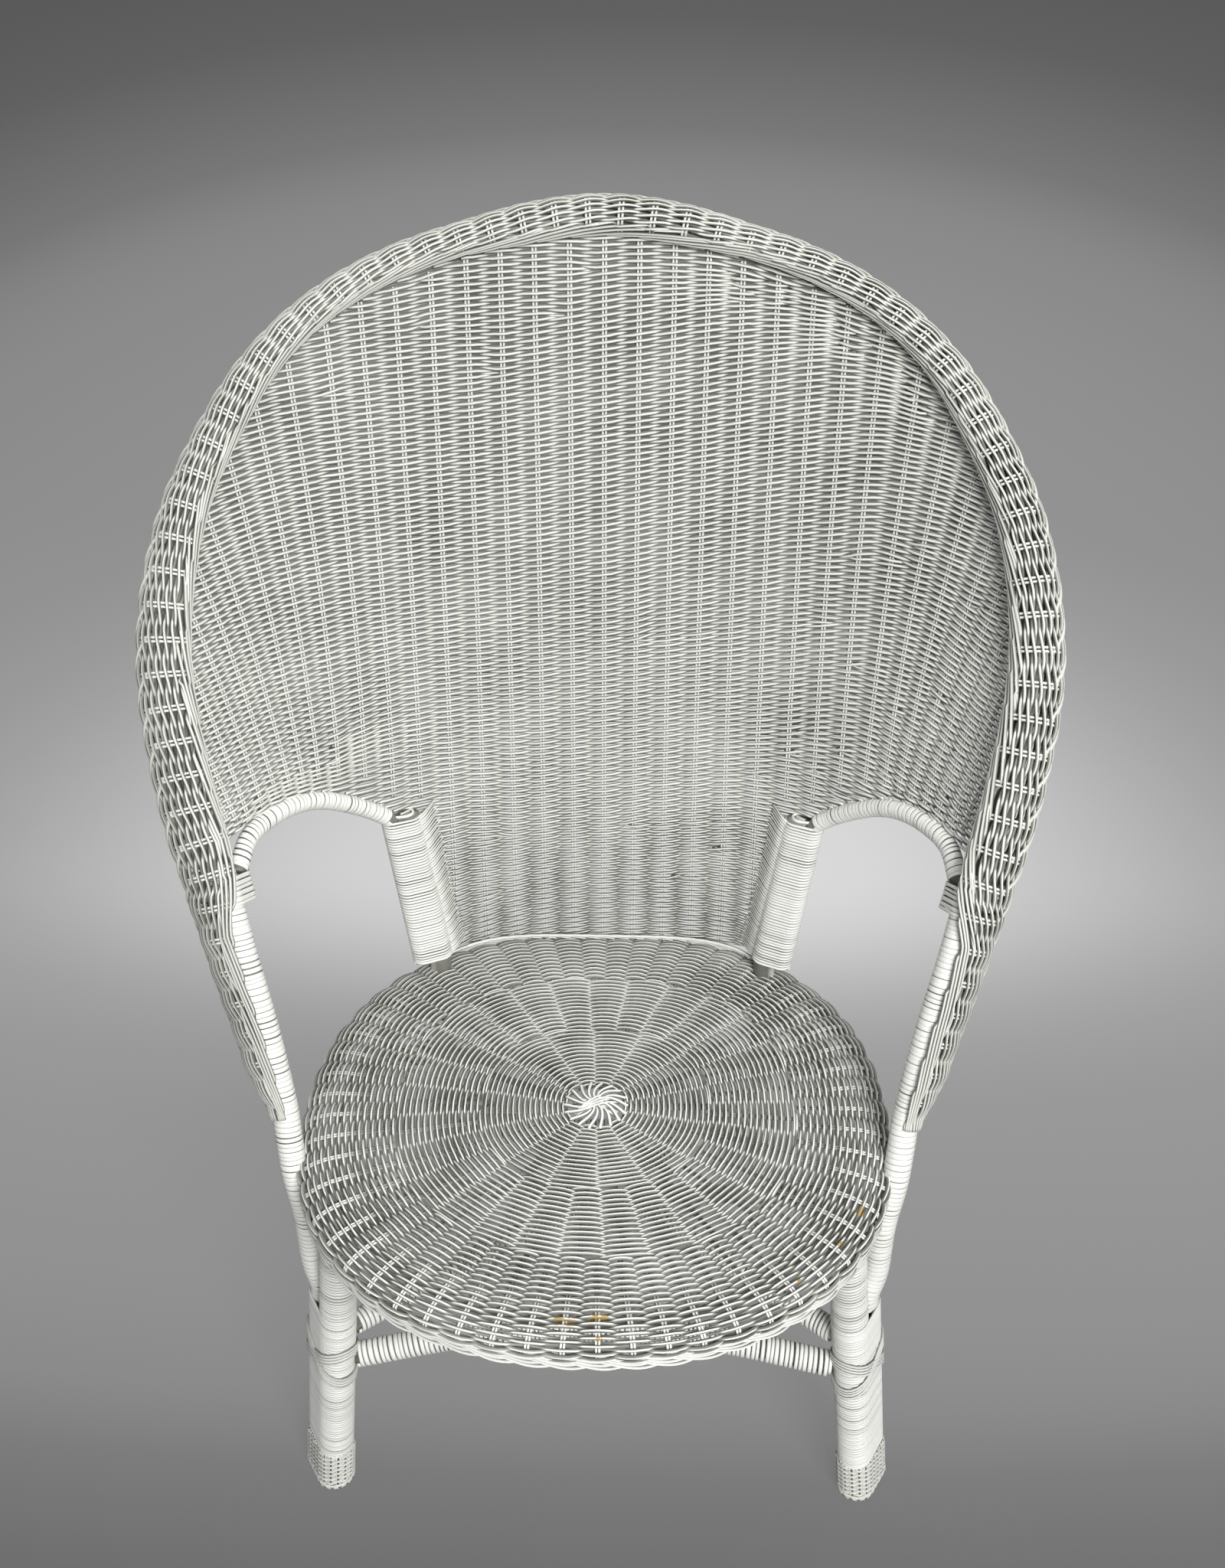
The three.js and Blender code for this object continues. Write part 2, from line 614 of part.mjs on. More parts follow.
// Rolled border: a crescent round the outer side of the hoop's rod, from its front to its rear
function borderSection(reach, frontShare) {
  const [outerCount, innerCount] = [8, 7];
  const span = (2 * halfTurn) / 3;
  const slack = Math.cos(span / (innerCount - 1));
  const bore = (boreFor(hoopRadius, sleeveSides) + sleeveWall + 2 * sideGap) / slack;
  const points = [];
  for (let i = 0; i < outerCount; i += 1) {
    const a = -span * frontShare + (span * (1 + frontShare) * i) / (outerCount - 1);
    const swell = Math.abs(a) < halfTurn / 2 ? Math.cos(a) ** 2 : 0;
    const r = bore + borderWall + Math.max(reach - bore - borderWall, 0) * swell;
    points.push(new THREE.Vector2(r * Math.cos(a), r * Math.sin(a)));
  }
  for (let i = innerCount - 1; i >= 0; i -= 1) {
    const a = -span * frontShare + (span * (1 + frontShare) * i) / (innerCount - 1);
    points.push(new THREE.Vector2(bore * Math.cos(a), bore * Math.sin(a)));
  }
  return points;
}

// One length of the border, between two shares of the hoop's line
function borderLength(from, to, steps, frontShares = [1, 1]) {
  const rings = [];
  let section = [];
  for (let i = 0; i <= steps; i += 1) {
    const { point, out, side, t } = borderFrame(from + ((to - from) * i) / steps);
    const front = THREE.MathUtils.lerp(...frontShares, i / steps);
    section = borderSection(hoopRod * readTable(borderReachShares, t), front);
    rings.push(section.map((s) => point.clone().addScaledVector(out, s.x)
      .addScaledVector(side, s.y)));
  }
  return loft(rings, THREE.ShapeUtils.triangulateShape(section, []));
}

function makeBorder() {
  const foot = shareAtHeight(hoopCurve, seatHeight + borderFootRise);
  const join = shareAtHeight(hoopCurve, archEndHeight);
  const apart = clearance / hoopCurve.getLength() / 2;
  placePair('arm_border', borderLength(foot, join - apart, armBorderSteps, armFrontShares),
    weavePaint);
  place('back_border', borderLength(join + apart, 1 - join - apart, borderSteps), weavePaint);
}

// Lower edge of the panel in one half, in three stretches: on the seat, beside the post, over
// the arch to the tip behind the hoop
const panelBottom = seatTopAt(0.93) + clearance;
function lowerEdge() {
  const aside = rearRadius + clearance + caneThickness + edgeGap;
  const low = postAt(0);
  const [lowX, highX] = [low.x - aside, postHead.x - aside];
  const offset = boreFor(archRadius, sleeveSides) + sleeveWall + edgeGap;
  const first = shareAtHeight(archCurve, postTop + archRod);
  const last = shareAtHeight(archCurve, postTop) + archTipShare;
  const arch = [
    [highX, postHead.z], [postHead.x - rearRadius, postHead.z + rearRadius],
    [postHead.x, postHead.z + postCapRise],
  ];
  for (let i = 0; i <= 2 * archSteps; i += 1) {
    const share = first + ((last - first) * i) / (2 * archSteps);
    const p = archCurve.getPointAt(share);
    const tangent = archCurve.getTangentAt(share);
    const up = new THREE.Vector3().crossVectors(backNormal(p.x, p.z), tangent);
    if (up.z < 0) up.negate();
    p.addScaledVector(up.normalize(), offset);
    arch.push([p.x, p.z]);
  }
  return [
    [[0, panelBottom], [lowX, panelBottom]], [[lowX, panelBottom], [lowX, low.z],
      [highX, postHead.z]], arch,
  ];
}

// Upper edge in one half, from the top's middle round to the tip
function upperEdge() {
  const steps = 60;
  const [top, tip] = [0.5, shareAtHeight(hoopCurve, archEndHeight + 2 * archRod)];
  const edge = [];
  for (let i = 0; i <= steps; i += 1) {
    const { point, along } = borderFrame(top + ((tip - top) * i) / steps);
    const q = point.clone().addScaledVector(along, -(hoopRadius + panelRodGap));
    edge.push([q.x, q.z]);
  }
  return edge;
}

// Point at a share of the length of a flat line
function onLine(line, share) {
  const lengths = [0];
  for (let i = 1; i < line.length; i += 1) {
    const [a, b] = [line[i - 1], line[i]];
    lengths.push(lengths[i - 1] + Math.hypot(b[0] - a[0], b[1] - a[1]));
  }
  const target = share * lengths[lengths.length - 1];
  const xs = lengths.map((l, i) => [l, line[i][0]]);
  const zs = lengths.map((l, i) => [l, line[i][1]]);
  return [readTable(xs, target), readTable(zs, target)];
}

function makePanel() {
  const stretches = lowerEdge();
  const lower = [];
  stretches.forEach((line, k) => {
    for (let i = k ? 1 : 0; i <= panelColumns[k]; i += 1) {
      lower.push(onLine(line, i / panelColumns[k]));
    }
  });
  const upper = upperEdge();
  const half = lower.length - 1;
  const ribFrom = panelColumns[0] + panelColumns[1];
  const [front, back] = [[], []];
  for (let c = -half; c <= half; c += 1) {
    const low = lower[Math.abs(c)];
    const high = onLine(upper, readTable(panelMatchShares, Math.abs(c) / half));
    const [onSeat, overArch] = [Math.abs(c) <= panelColumns[0], Math.abs(c) >= ribFrom];
    const ribbed = (onSeat && c % 2 === 0) || (overArch && (Math.abs(c) - ribFrom) % 2 === 0);
    for (let r = 0; r <= panelRows; r += 1) {
      const inField = r > 0 && r < panelRows && Math.abs(c) < half;
      const swell = ribbed ? Number(inField) : -1;
      const faceOut = (panelThickness + panelRib * swell) / 2;
      const x = (Math.sign(c) || 1) * (low[0] + ((high[0] - low[0]) * r) / panelRows);
      const z = low[1] + ((high[1] - low[1]) * r) / panelRows;
      const p = new THREE.Vector3(x, backAt(x, z), z);
      const n = backNormal(x, z);
      front.push(p.clone().addScaledVector(n, faceOut));
      back.push(p.clone().addScaledVector(n, -faceOut));
    }
  }
  place('back_panel', slab(front, back, 2 * half + 1, panelRows + 1), weavePaint);
}

// A closed plate between two grids of points
function slab(front, back, columns, rows) {
  const index = [];
  const count = front.length;
  const quad = (a, b, c, d) => index.push(a, b, c, a, c, d);
  for (let c = 0; c + 1 < columns; c += 1) {
    for (let r = 0; r + 1 < rows; r += 1) {
      const a = c * rows + r;
      quad(a, a + rows, a + rows + 1, a + 1);
      quad(count + a, count + a + 1, count + a + rows + 1, count + a + rows);
    }
    const [low, high] = [c * rows, c * rows + rows - 1];
    quad(low, count + low, count + low + rows, low + rows);
    quad(high, high + rows, count + high + rows, count + high);
  }
  const lastColumn = (columns - 1) * rows;
  for (let r = 0; r + 1 < rows; r += 1) {
    quad(r, r + 1, count + r + 1, count + r);
    const a = lastColumn + r;
    quad(a, count + a, count + a + 1, a + 1);
  }
  return closedSkin([...front, ...back], index);
}

// Closing row along the panel's lower edge, lying on the seat
function makeFootBraid() {
  const radius = footBraidRod / 2;
  const z = panelBottom + radius + clearance;
  const aside = rearRadius + clearance + caneThickness + radius + edgeGap;
  const half = rearSeat.x - aside;
  const count = 8;
  const points = [];
  for (let i = -count; i <= count; i += 1) {
    const x = (half * i) / count;
    const n = backNormal(x, z);
    points.push(new THREE.Vector3(x, backAt(x, z), z)
      .addScaledVector(n, panelThickness / 2 + edgeGap + radius));
  }
  place('back_foot_braid', rodAlong(smooth(points), radius, rodSides, 2 * count), weavePaint);
}

// Seat: woven top, closing braid, ring, bars and knot
function seatTopSkin() {
  const outer = seatTopShares.map(([share, drop]) =>
    new THREE.Vector2(share * seatHalfWidth, seatTop - drop * seatDepth));
  const inner = outer.slice(1).map((p, i) => {
    const before = outer[i];
    const after = outer[Math.min(i + 2, outer.length - 1)];
    const along = after.clone().sub(before).normalize();
    return new THREE.Vector2(p.x + along.y * seatShell, p.y - along.x * seatShell);
  });
  const rimEnd = inner.length - 1;
  inner[rimEnd] = new THREE.Vector2(seatHalfWidth - seatShell, outer[outer.length - 1].y);
  const profile = [...outer, ...inner.reverse(), new THREE.Vector2(0, seatTop - seatShell)];
  const g = new THREE.LatheGeometry(profile, latheSteps).rotateX(halfTurn / 2);
  sinkBetweenArms(g, profile.length, outer.length);
  return outward(followRim(g, (r, angle) => (r * rimAt(angle)) / seatHalfWidth));
}

// Lowers the seat's upper side in every other column of its mesh, so that its arms stand as ribs
function sinkBetweenArms(geometry, perColumn, upperCount) {
  const p = geometry.attributes.position;
  for (let column = 1; column < latheSteps; column += 2) {
    for (let i = 0; i < upperCount; i += 1) {
      const at = column * perColumn + i;
      const share = Math.hypot(p.getX(at), p.getY(at)) / seatHalfWidth;
      p.setZ(at, p.getZ(at) - seatRib * readTable(seatRibShares, share));
    }
  }
}

// Turns a closed skin so that its faces point out
function outward(geometry) {
  const g = geometry.clone();
  for (const key of ['normal', 'uv']) if (g.attributes[key]) g.deleteAttribute(key);
  const merged = mergeVertices(g);
  const p = merged.attributes.position;
  const points = Array.from({ length: p.count }, (_, i) =>
    new THREE.Vector3().fromBufferAttribute(p, i));
  const index = [];
  const old = merged.index.array;
  for (let i = 0; i < old.length; i += 3) {
    const face = [old[i], old[i + 1], old[i + 2]];
    if (new Set(face).size === 3) index.push(...face);
  }
  return closedSkin(points, index);
}

function makeSeat() {
  const rearCutter = rodAlong(rearCurve, rearRadius + clearance, rodSides, rearSteps);
  const hoopCutter = rodAlong(hoopCurve, hoopRadius + clearance, rodSides, hoopSteps);
  const cutters = [rearCutter, mirrored(rearCutter), hoopCutter];
  place('seat_weave', cut(seatTopSkin(), ...cutters), weavePaint);

  const [wide, high] = [seatBraidWidth / 2, seatBraidHeight / 2];
  const braid = new THREE.TorusGeometry(seatHalfWidth, wide, rodSides, ringSteps)
    .scale(1, 1, high / wide).translate(0, 0, rimBottom + high);
  followRim(braid, (r, angle) => r - seatHalfWidth + rimAt(angle) - wide);
  place('seat_border', cut(braid, ...cutters), weavePaint);

  const ringRod = new THREE.TorusGeometry(seatHalfWidth, seatRingRod / 2, rodSides, ringSteps)
    .translate(0, 0, ringHeight);
  followRim(ringRod, (r, angle) => r - seatHalfWidth + rimAt(angle) * ringShare);
  place('seat_ring', ringRod, rodPaint);

  for (const [name, y] of [['seat_bar_front', -seatBarY], ['seat_bar_rear', seatBarY]]) {
    const half = insideRing(y);
    const bar = new THREE.CylinderGeometry(seatBarRod / 2, seatBarRod / 2, 2 * half, poleSides)
      .rotateZ(halfTurn / 2).translate(0, y, ringHeight);
    place(name, bar, rodPaint);
  }
  makeKnot();
}

// Half length of a bar that ends against the seat ring
function insideRing(y) {
  const edge = y + (Math.sign(y) * seatBarRod) / 2;
  const inner = (angle) => ringShare * rimAt(angle) * Math.cos(halfTurn / ringSteps)
    - seatRingRod / 2 - clearance;
  let x = seatHalfWidth;
  while (Math.hypot(x, edge) > inner(Math.atan2(edge, x))) x -= clearance / 3;
  return x;
}

function makeKnot() {
  const knotShares = [[0, 1], [0.45, 0.95], [0.8, 0.6], [1, 0.12]];
  const floor = seatTop + clearance;
  const profile = knotShares.map(([r, z]) =>
    new THREE.Vector2(knotRadius * r, floor + (knotHeight - clearance) * z));
  profile.push(new THREE.Vector2(knotRadius, floor), new THREE.Vector2(0, floor));
  place('seat_knot', outward(new THREE.LatheGeometry(profile, 16).rotateX(halfTurn / 2)),
    weavePaint);
}

// A rod between two pieces, with its cane sleeve
function wrappedRod(name, points, radius, steps) {
  const curve = smooth(points);
  place(name, rodAlong(curve, radius, rodSides, steps), rodPaint);
  const trim = radius / 2 / curve.getLength();
  place(`${name}_wrap`, sleeveAlong(new CurveSpan(curve, trim, 1 - trim), radius, sleeveWall,
    sleeveSides, steps), canePaint);
}

const legSkin = (radius) => (radius + clearance) / Math.cos(halfTurn / (loopSteps - 2))
  + caneThickness + wrapSpare;

// How far the wrapped pair of leg and hoop rod reaches from the leg's middle, in a direction
function pairReach(direction) {
  return Math.max(legSkin(legRadius), pairOffset.dot(direction) + legSkin(hoopRadius));
}

function makeStretchers() {
  const left = new THREE.Vector3(-1, 0, 0);
  const leg = legAt(frontStretcherHeight);
  const frontX = leg.x - pairReach(left) - stretcherEndGap - (stretcherRod / 2) * legSlope.length();
  wrappedRod('front_stretcher', [
    new THREE.Vector3(-frontX, leg.y, leg.z),
    new THREE.Vector3(-frontX / 2, leg.y + frontStretcherSet * bowShare,
      leg.z + frontStretcherBow * bowShare),
    new THREE.Vector3(0, leg.y + frontStretcherSet, leg.z + frontStretcherBow),
    new THREE.Vector3(frontX / 2, leg.y + frontStretcherSet * bowShare,
      leg.z + frontStretcherBow * bowShare),
    new THREE.Vector3(frontX, leg.y, leg.z),
  ], stretcherRod / 2, 8);

  const rearLeg = rearCurve.getPointAt(shareAtHeight(rearCurve, rearStretcherHeight));
  const rearSkin = (boreFor(rearRadius, sleeveSides) + sleeveWall)
    * Math.cos(halfTurn / sleeveSides) + 2 * clearance;
  const rearX = rearLeg.x - rearSkin - (stretcherRod / 2) * Math.abs(rearFootSlope.x);
  wrappedRod('rear_stretcher', [
    new THREE.Vector3(-rearX, rearLeg.y, rearLeg.z), new THREE.Vector3(0, rearLeg.y, rearLeg.z),
    new THREE.Vector3(rearX, rearLeg.y, rearLeg.z),
  ], stretcherRod / 2, 6);
  makeBraces(rearSkin);
}

// Two braces from each front leg to the opposite rear leg, one passing over the other
function makeBraces(rearSkin) {
  const front = legAt(braceHeight);
  const rear = rearCurve.getPointAt(shareAtHeight(rearCurve, braceHeight));
  const across = new THREE.Vector3(-rear.x - front.x, rear.y - front.y, 0).normalize();
  const lean = (slope) => (braceRod / 2) * slope.length();
  const start = front.clone().addScaledVector(across, pairReach(across) + lean(legSlope));
  const end = flipX(rear)
    .addScaledVector(across, -(rearSkin + 2 * sideGap + lean(rearFootSlope)));
  const share = start.x / (start.x - end.x);
  const skin = boreFor(braceRod / 2, sleeveSides) + sleeveWall + braceCrossGap;
  for (const [name, sign] of [['brace_right', 1], ['brace_left', -1]]) {
    const route = [0, share / 2, share, (1 + share) / 2, 1].map((s, i) => {
      const p = start.clone().lerp(end, s);
      const liftShares = [0, 0.55, 1, 0.55, 0];
      p.z += sign * skin * liftShares[i];
      return sign > 0 ? p : flipX(p);
    });
    wrappedRod(name, route, braceRod / 2, 6);
  }
}

makeHoop();
makeFrontLegs();
makeRearLegs();
makeArches();
makeBorder();
makePanel();
makeFootBraid();
makeSeat();
makeStretchers();

// The origin lies on the floor, under the middle of the chair's length and width
const box = new THREE.Box3().setFromObject(chair);
chair.position.y = -(box.min.y + box.max.y) / 2;
chair.updateMatrixWorld(true);

export default chair;
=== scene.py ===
"""Painted wicker armchair with a fan back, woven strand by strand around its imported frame."""

import json
import logging
import math
from dataclasses import dataclass
from enum import Enum

import bpy
import numpy as np
from mathutils import Euler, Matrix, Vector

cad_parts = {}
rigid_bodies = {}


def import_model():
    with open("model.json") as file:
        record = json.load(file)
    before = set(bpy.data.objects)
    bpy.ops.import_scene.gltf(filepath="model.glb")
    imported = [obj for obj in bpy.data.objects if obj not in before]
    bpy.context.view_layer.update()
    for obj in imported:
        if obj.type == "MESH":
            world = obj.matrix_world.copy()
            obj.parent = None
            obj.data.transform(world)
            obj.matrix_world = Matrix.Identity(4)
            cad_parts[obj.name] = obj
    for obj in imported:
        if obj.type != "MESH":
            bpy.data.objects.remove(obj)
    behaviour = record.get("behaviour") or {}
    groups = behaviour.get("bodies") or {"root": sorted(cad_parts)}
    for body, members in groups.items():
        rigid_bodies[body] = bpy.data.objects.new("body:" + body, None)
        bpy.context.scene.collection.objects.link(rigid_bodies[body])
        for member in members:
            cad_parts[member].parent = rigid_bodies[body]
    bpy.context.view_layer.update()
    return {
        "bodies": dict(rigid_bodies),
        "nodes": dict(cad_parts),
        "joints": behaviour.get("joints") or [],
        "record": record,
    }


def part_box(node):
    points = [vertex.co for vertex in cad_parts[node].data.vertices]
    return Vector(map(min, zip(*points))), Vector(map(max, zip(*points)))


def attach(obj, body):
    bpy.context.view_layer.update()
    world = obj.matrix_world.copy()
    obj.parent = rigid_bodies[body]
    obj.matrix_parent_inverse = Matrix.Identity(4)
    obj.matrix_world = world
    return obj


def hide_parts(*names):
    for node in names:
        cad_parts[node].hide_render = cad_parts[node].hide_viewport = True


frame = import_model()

MM = 0.001
BODY = "root"
# Places on the seat where the paint is worn off, in millimetres from the knot, and their sizes
WORN_SPOTS = ((-21.5, -233.5, 419.2, 4.8), (-13.0, -233.5, 419.2, 5.4), (6.0, -230.5, 419.9, 4.6),
              (13.5, -230.5, 419.9, 5.0), (10.5, -246.2, 416.0, 3.4), (232.7, -112.9, 417.5, 5.6),
              (210.8, -148.4, 417.6, 4.0), (172.6, -187.6, 417.6, 3.4))
LOG = logging.getLogger("wicker_chair")
Array = np.ndarray
Rng = np.random.Generator
Pair = tuple[float, float]
Triple = tuple[float, float, float]
Table = tuple[Pair, ...]
UP = np.array([0.0, 0.0, 1.0])


class Side(Enum):
    """The chair's two halves, as someone in front of it sees them."""

    RIGHT = 1
    LEFT = -1

    @property
    def word(self) -> str:
        """Ending of the CAD nodes' names on this side."""
        return self.name.lower()

    @property
    def flip(self) -> Array:
        """Factors that carry places in the half at +X to this side."""
        return np.array([self.value, 1, 1])


def unit(v: Array) -> Array:
    """Gives vectors the length 1."""
    return v / np.maximum(np.linalg.norm(v, axis=-1, keepdims=True), 1e-9)


def read_table(table: Table, at: Array | float) -> Array:
    """Reads a table of pairs on straight lines between them."""
    places, values = zip(*table)
    return np.interp(at, places, values)


def read_columns(at: Array | float, places: Array, columns: Array) -> Array:
    """Reads each column of an array on straight lines between its places."""
    return np.stack([np.interp(at, places, c) for c in columns.T], -1)


def run_along(points: Array) -> Array:
    """Length along a line of points, from its first one to each of them."""
    return np.concatenate([[0], np.cumsum(np.linalg.norm(np.diff(points, axis=0), axis=1))])


def heading(angle: float) -> Array:
    """Level direction at an angle."""
    return np.array([math.cos(angle), math.sin(angle), 0])


def polar(radius: Array | float, angle: Array, z: Array | float) -> Array:
    """Points at a distance and an angle from the upright line through the seat's knot."""
    x = radius * np.cos(angle)
    return np.stack([x, radius * np.sin(angle), z + 0 * x], -1)


class SmoothLine:
    """A smooth line through points, read by a share of its length."""

    def __init__(self, points: Array, per_part: int = 24) -> None:
        """Samples the centripetal line through the points.

        Args:
            points: The points it passes through, in millimetres.
            per_part: Samples between two of them.
        """
        p = np.asarray(points, float)
        p = np.vstack([2 * p[0] - p[1], p, 2 * p[-1] - p[-2]])
        t = np.linspace(0, 1, per_part, endpoint=False)[:, None]
        parts = []
        for a, b, c, d in zip(p[:-3], p[1:-2], p[2:-1], p[3:]):
            e0, e1, e2 = (np.sqrt(np.linalg.norm(v)) for v in (b - a, c - b, d - c))
            m0 = ((b - a) / e0 - (c - a) / (e0 + e1) + (c - b) / e1) * e1
            m1 = ((c - b) / e1 - (d - b) / (e1 + e2) + (d - c) / e2) * e1
            parts.append(b + m0 * t + (3 * (c - b) - 2 * m0 - m1) * t**2
                         + (2 * (b - c) + m0 + m1) * t**3)
        self.dense = np.vstack([*parts, p[-2:-1]])
        steps = np.linalg.norm(np.diff(self.dense, axis=0), axis=1)
        self.length = float(steps.sum())
        self.shares = np.concatenate([[0.0], np.cumsum(steps)]) / self.length
        self.slopes = unit(np.gradient(self.dense, axis=0))

    def at(self, share: Array | float) -> Array:
        """Points at shares of the length."""
        return read_columns(share, self.shares, self.dense)

    def along(self, share: Array | float) -> Array:
        """Directions at shares of the length."""
        return unit(read_columns(share, self.shares, self.slopes))

    def share_at_height(self, height: float) -> float:
        """Share at which the line first rises past a height."""
        return float(self.shares[int(np.argmax(self.dense[:, 2] >= height))])


@dataclass
class ChairShape:
    """Sizes and lines of the chair in millimetres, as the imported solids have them."""

    seat_height: float = 430.0
    hoop_rise: float = 700.0
    hoop_half_width: float = 366.0
    hoop_foot_y: float = -47.0
    hoop_lean_back: float = 415.0
    hoop_lean_share: float = 0.484
    back_foot_y: float = 256.0
    back_lean: float = 107.0
    curl_share: float = 4.2
    curl_fall_share: float = 1.5
    seat_half_width: float = 272.0
    seat_front: float = 256.0
    seat_rear: float = 270.0
    seat_depth: float = 36.0
    front_square: float = 2.2
    back_square: float = 2.4
    ring_share: float = 0.842
    leg_radius: float = 15.0
    hoop_radius: float = 11.0
    rear_radius: float = 11.0
    arch_radius: float = 7.5
    leg_foot: Pair = (265.0, -101.0)
    leg_top: Pair = (222.8, -105.0)
    leg_top_z: float = 393.5
    sole_gap: float = 3.3
    leg_slope: float = 0.108
    pair_rise: float = 270.7
    pair_turn: float = math.radians(48.7)
    side_gap: float = 0.4
    rear_foot: Pair = (188.0, 258.0)
    rear_knee: Triple = (178.0, 232.0, 200.0)
    rear_turn: float = math.radians(50.4)
    ring_z: float = 404.8
    ring_room: float = 22.3
    post_lift: float = 6.0
    post_top: Triple = (193.6, 230.0, 592.0)
    post_turn: float = math.radians(-36.9)
    arch_width: float = 111.0
    arch_rise: float = 71.0
    arch_end_z: float = 646.0
    arch_end_turn: float = math.radians(104.5)
    arch_end_gap: float = 23.3
    knot_drop: float = 4.0
    curl_limit: float = 1.15
    normal_step: float = 2.5
    border_inside_share: float = 0.975
    border_turn: Pair = (0.25, 0.38)
    shoulder: tuple[Triple, ...] = (
        (259, -80, 300), (262, -73, 358), (270, -62, 400), (274, -50, 430))
    hoop_shares: Table = (
        (0.757, 0.036), (0.795, 0.14), (0.8415, 0.2314), (0.885, 0.3186), (0.921, 0.3714),
        (0.959, 0.443), (0.989, 0.514), (1, 0.571), (0.992, 0.643), (0.959, 0.717),
        (0.888, 0.7916), (0.802, 0.8536), (0.6818, 0.9056), (0.5144, 0.9493), (0.2854, 0.982))
    arch_shares: Table = (
        (0.13, 0.225), (0.32, 0.53), (0.475, 0.75), (0.62, 0.9), (0.768, 0.985), (0.915, 0.985))
    reach_shares: Table = (
        (0, 0.82), (0.036, 0.84), (0.1, 1.2), (0.186, 1.38), (0.3, 1.56), (0.41, 1.57),
        (0.5, 1.5), (0.56, 1.43), (0.63, 1.31), (0.7, 1.15), (0.75, 1.02), (0.81, 0.93),
        (0.865, 0.83), (0.91, 0.79), (0.975, 0.77), (0.99, 0.92), (1, 0.98))
    top_shares: Table = (
        (0, 0), (0.5, 0.03), (0.8, 0.11), (0.9, 0.17), (0.96, 0.27), (1, 0.47))

    def __post_init__(self) -> None:
        """Lays out the hoop, the rear posts and the side arches of the half at +X."""
        low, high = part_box("seat_knot")
        self.shift_y = (low.y + high.y) / 2 / MM
        pair = self.leg_radius + self.hoop_radius + self.side_gap
        self.pair_offset = pair * heading(self.pair_turn)
        tilt = self.hoop_radius * self.leg_slope
        half = [self.leg(self.sole_gap + tilt + (self.pair_rise - tilt) * s) + self.pair_offset
                for s in (0, 0.08, 0.5, 0.92, 1)]
        half += [np.array(p, float) for p in self.shoulder]
        for sx, sz in self.hoop_shares:
            z = self.seat_height + self.hoop_rise * sz
            half.append(np.array([self.hoop_half_width * sx, self.lean(z), z]))
        top = np.array([[0, self.lean(self.hoop_top), self.hoop_top]])
        other = (np.array(half) * Side.LEFT.flip)[::-1]
        self.hoop = SmoothLine(np.vstack([half, top, other]), 40)
        side = self.hoop.dense[: len(self.hoop.dense) // 2 + 1]
        side = side[side[:, 2] > 0.9 * self.seat_height]
        order = np.argsort(side[:, 2])
        self.side_z, self.side_x = side[order, 2], side[order, 0]

        seat_reach = self.ring_share * self.rim(self.rear_turn) + self.ring_room
        foot = seat_reach * heading(self.rear_turn)
        rear_seat = foot + UP * self.ring_z
        self.post_foot = foot + UP * (self.seat_height + self.post_lift)
        self.post_head = np.array(self.post_top)
        knee, sole = np.array(self.rear_knee), np.array([*self.rear_foot, 0.0])
        self.rear_leg = SmoothLine(np.array([
            sole + (knee - sole) * 0.024, sole + (knee - sole) * 0.27, knee, rear_seat,
            self.post(-0.03), self.post(0), self.post(0.5), self.post(0.97), self.post(1)]))
        up = unit(self.post_head - self.post_foot)
        offset = heading(self.post_turn)
        offset = unit(offset - up * offset.dot(up))
        self.post_offset = offset * (self.rear_radius + self.arch_radius + self.side_gap)
        arch_foot, arch_head = self.post_foot + self.post_offset, self.post_head + self.post_offset
        arc = []
        for sx, sz in self.arch_shares:
            x = arch_head[0] + self.arch_width * sx
            z = self.post_head[2] + self.arch_rise * sz
            arc.append(np.array([x, float(self.back(x, z)), z]))
        end = np.array([float(self.half_width(self.arch_end_z)), self.lean(self.arch_end_z),
                        self.arch_end_z])
        self.arch_end_offset = self.arch_end_gap * heading(self.arch_end_turn)
        end += self.arch_end_offset
        mid, near = (arch_foot + (arch_head - arch_foot) * s for s in (0.5, 0.97))
        self.arch = SmoothLine(np.array([arch_foot, mid, near, arch_head, *arc, end]))

    @property
    def hoop_top(self) -> float:
        """Height of the hoop's middle at its top."""
        return self.seat_height + self.hoop_rise

    @property
    def seat_top(self) -> float:
        """Height of the woven seat at its knot."""
        return self.seat_height - self.knot_drop

    def leg(self, z: Array | float) -> Array:
        """Middle of the front leg at a height."""
        t = np.asarray(z, float) / self.leg_top_z
        (x0, y0), (x1, y1) = self.leg_foot, self.leg_top
        return np.stack([x0 + (x1 - x0) * t, y0 + (y1 - y0) * t, t * self.leg_top_z], -1)

    def post(self, share: float) -> Array:
        """Middle of the rear post at a share of its run above the seat."""
        return self.post_foot + (self.post_head - self.post_foot) * share

    def lean(self, z: Array | float) -> Array | float:
        """How far back the hoop lies at a height."""
        t = (z - self.seat_height) / self.hoop_rise
        bend = self.hoop_lean_share * t + (1 - self.hoop_lean_share) * t * t
        return self.hoop_foot_y + self.hoop_lean_back * bend

    def half_width(self, z: Array | float) -> Array:
        """Half width of the hoop at a height."""
        return np.maximum(np.interp(z, self.side_z, self.side_x), 0.3)

    def back(self, x: Array | float, z: Array | float) -> Array:
        """Middle surface of the woven back."""
        t = (z - self.seat_height) / self.hoop_rise
        middle = self.back_foot_y + self.back_lean * t
        share = np.minimum(np.abs(x) / self.half_width(z), self.curl_limit)
        curl = share ** (self.curl_share - self.curl_fall_share * t)
        return middle - (middle - self.lean(z)) * curl

    def on_back(self, x: Array, z: Array) -> Array:
        """Points on that surface."""
        return np.stack([x, self.back(x, z), z], -1)

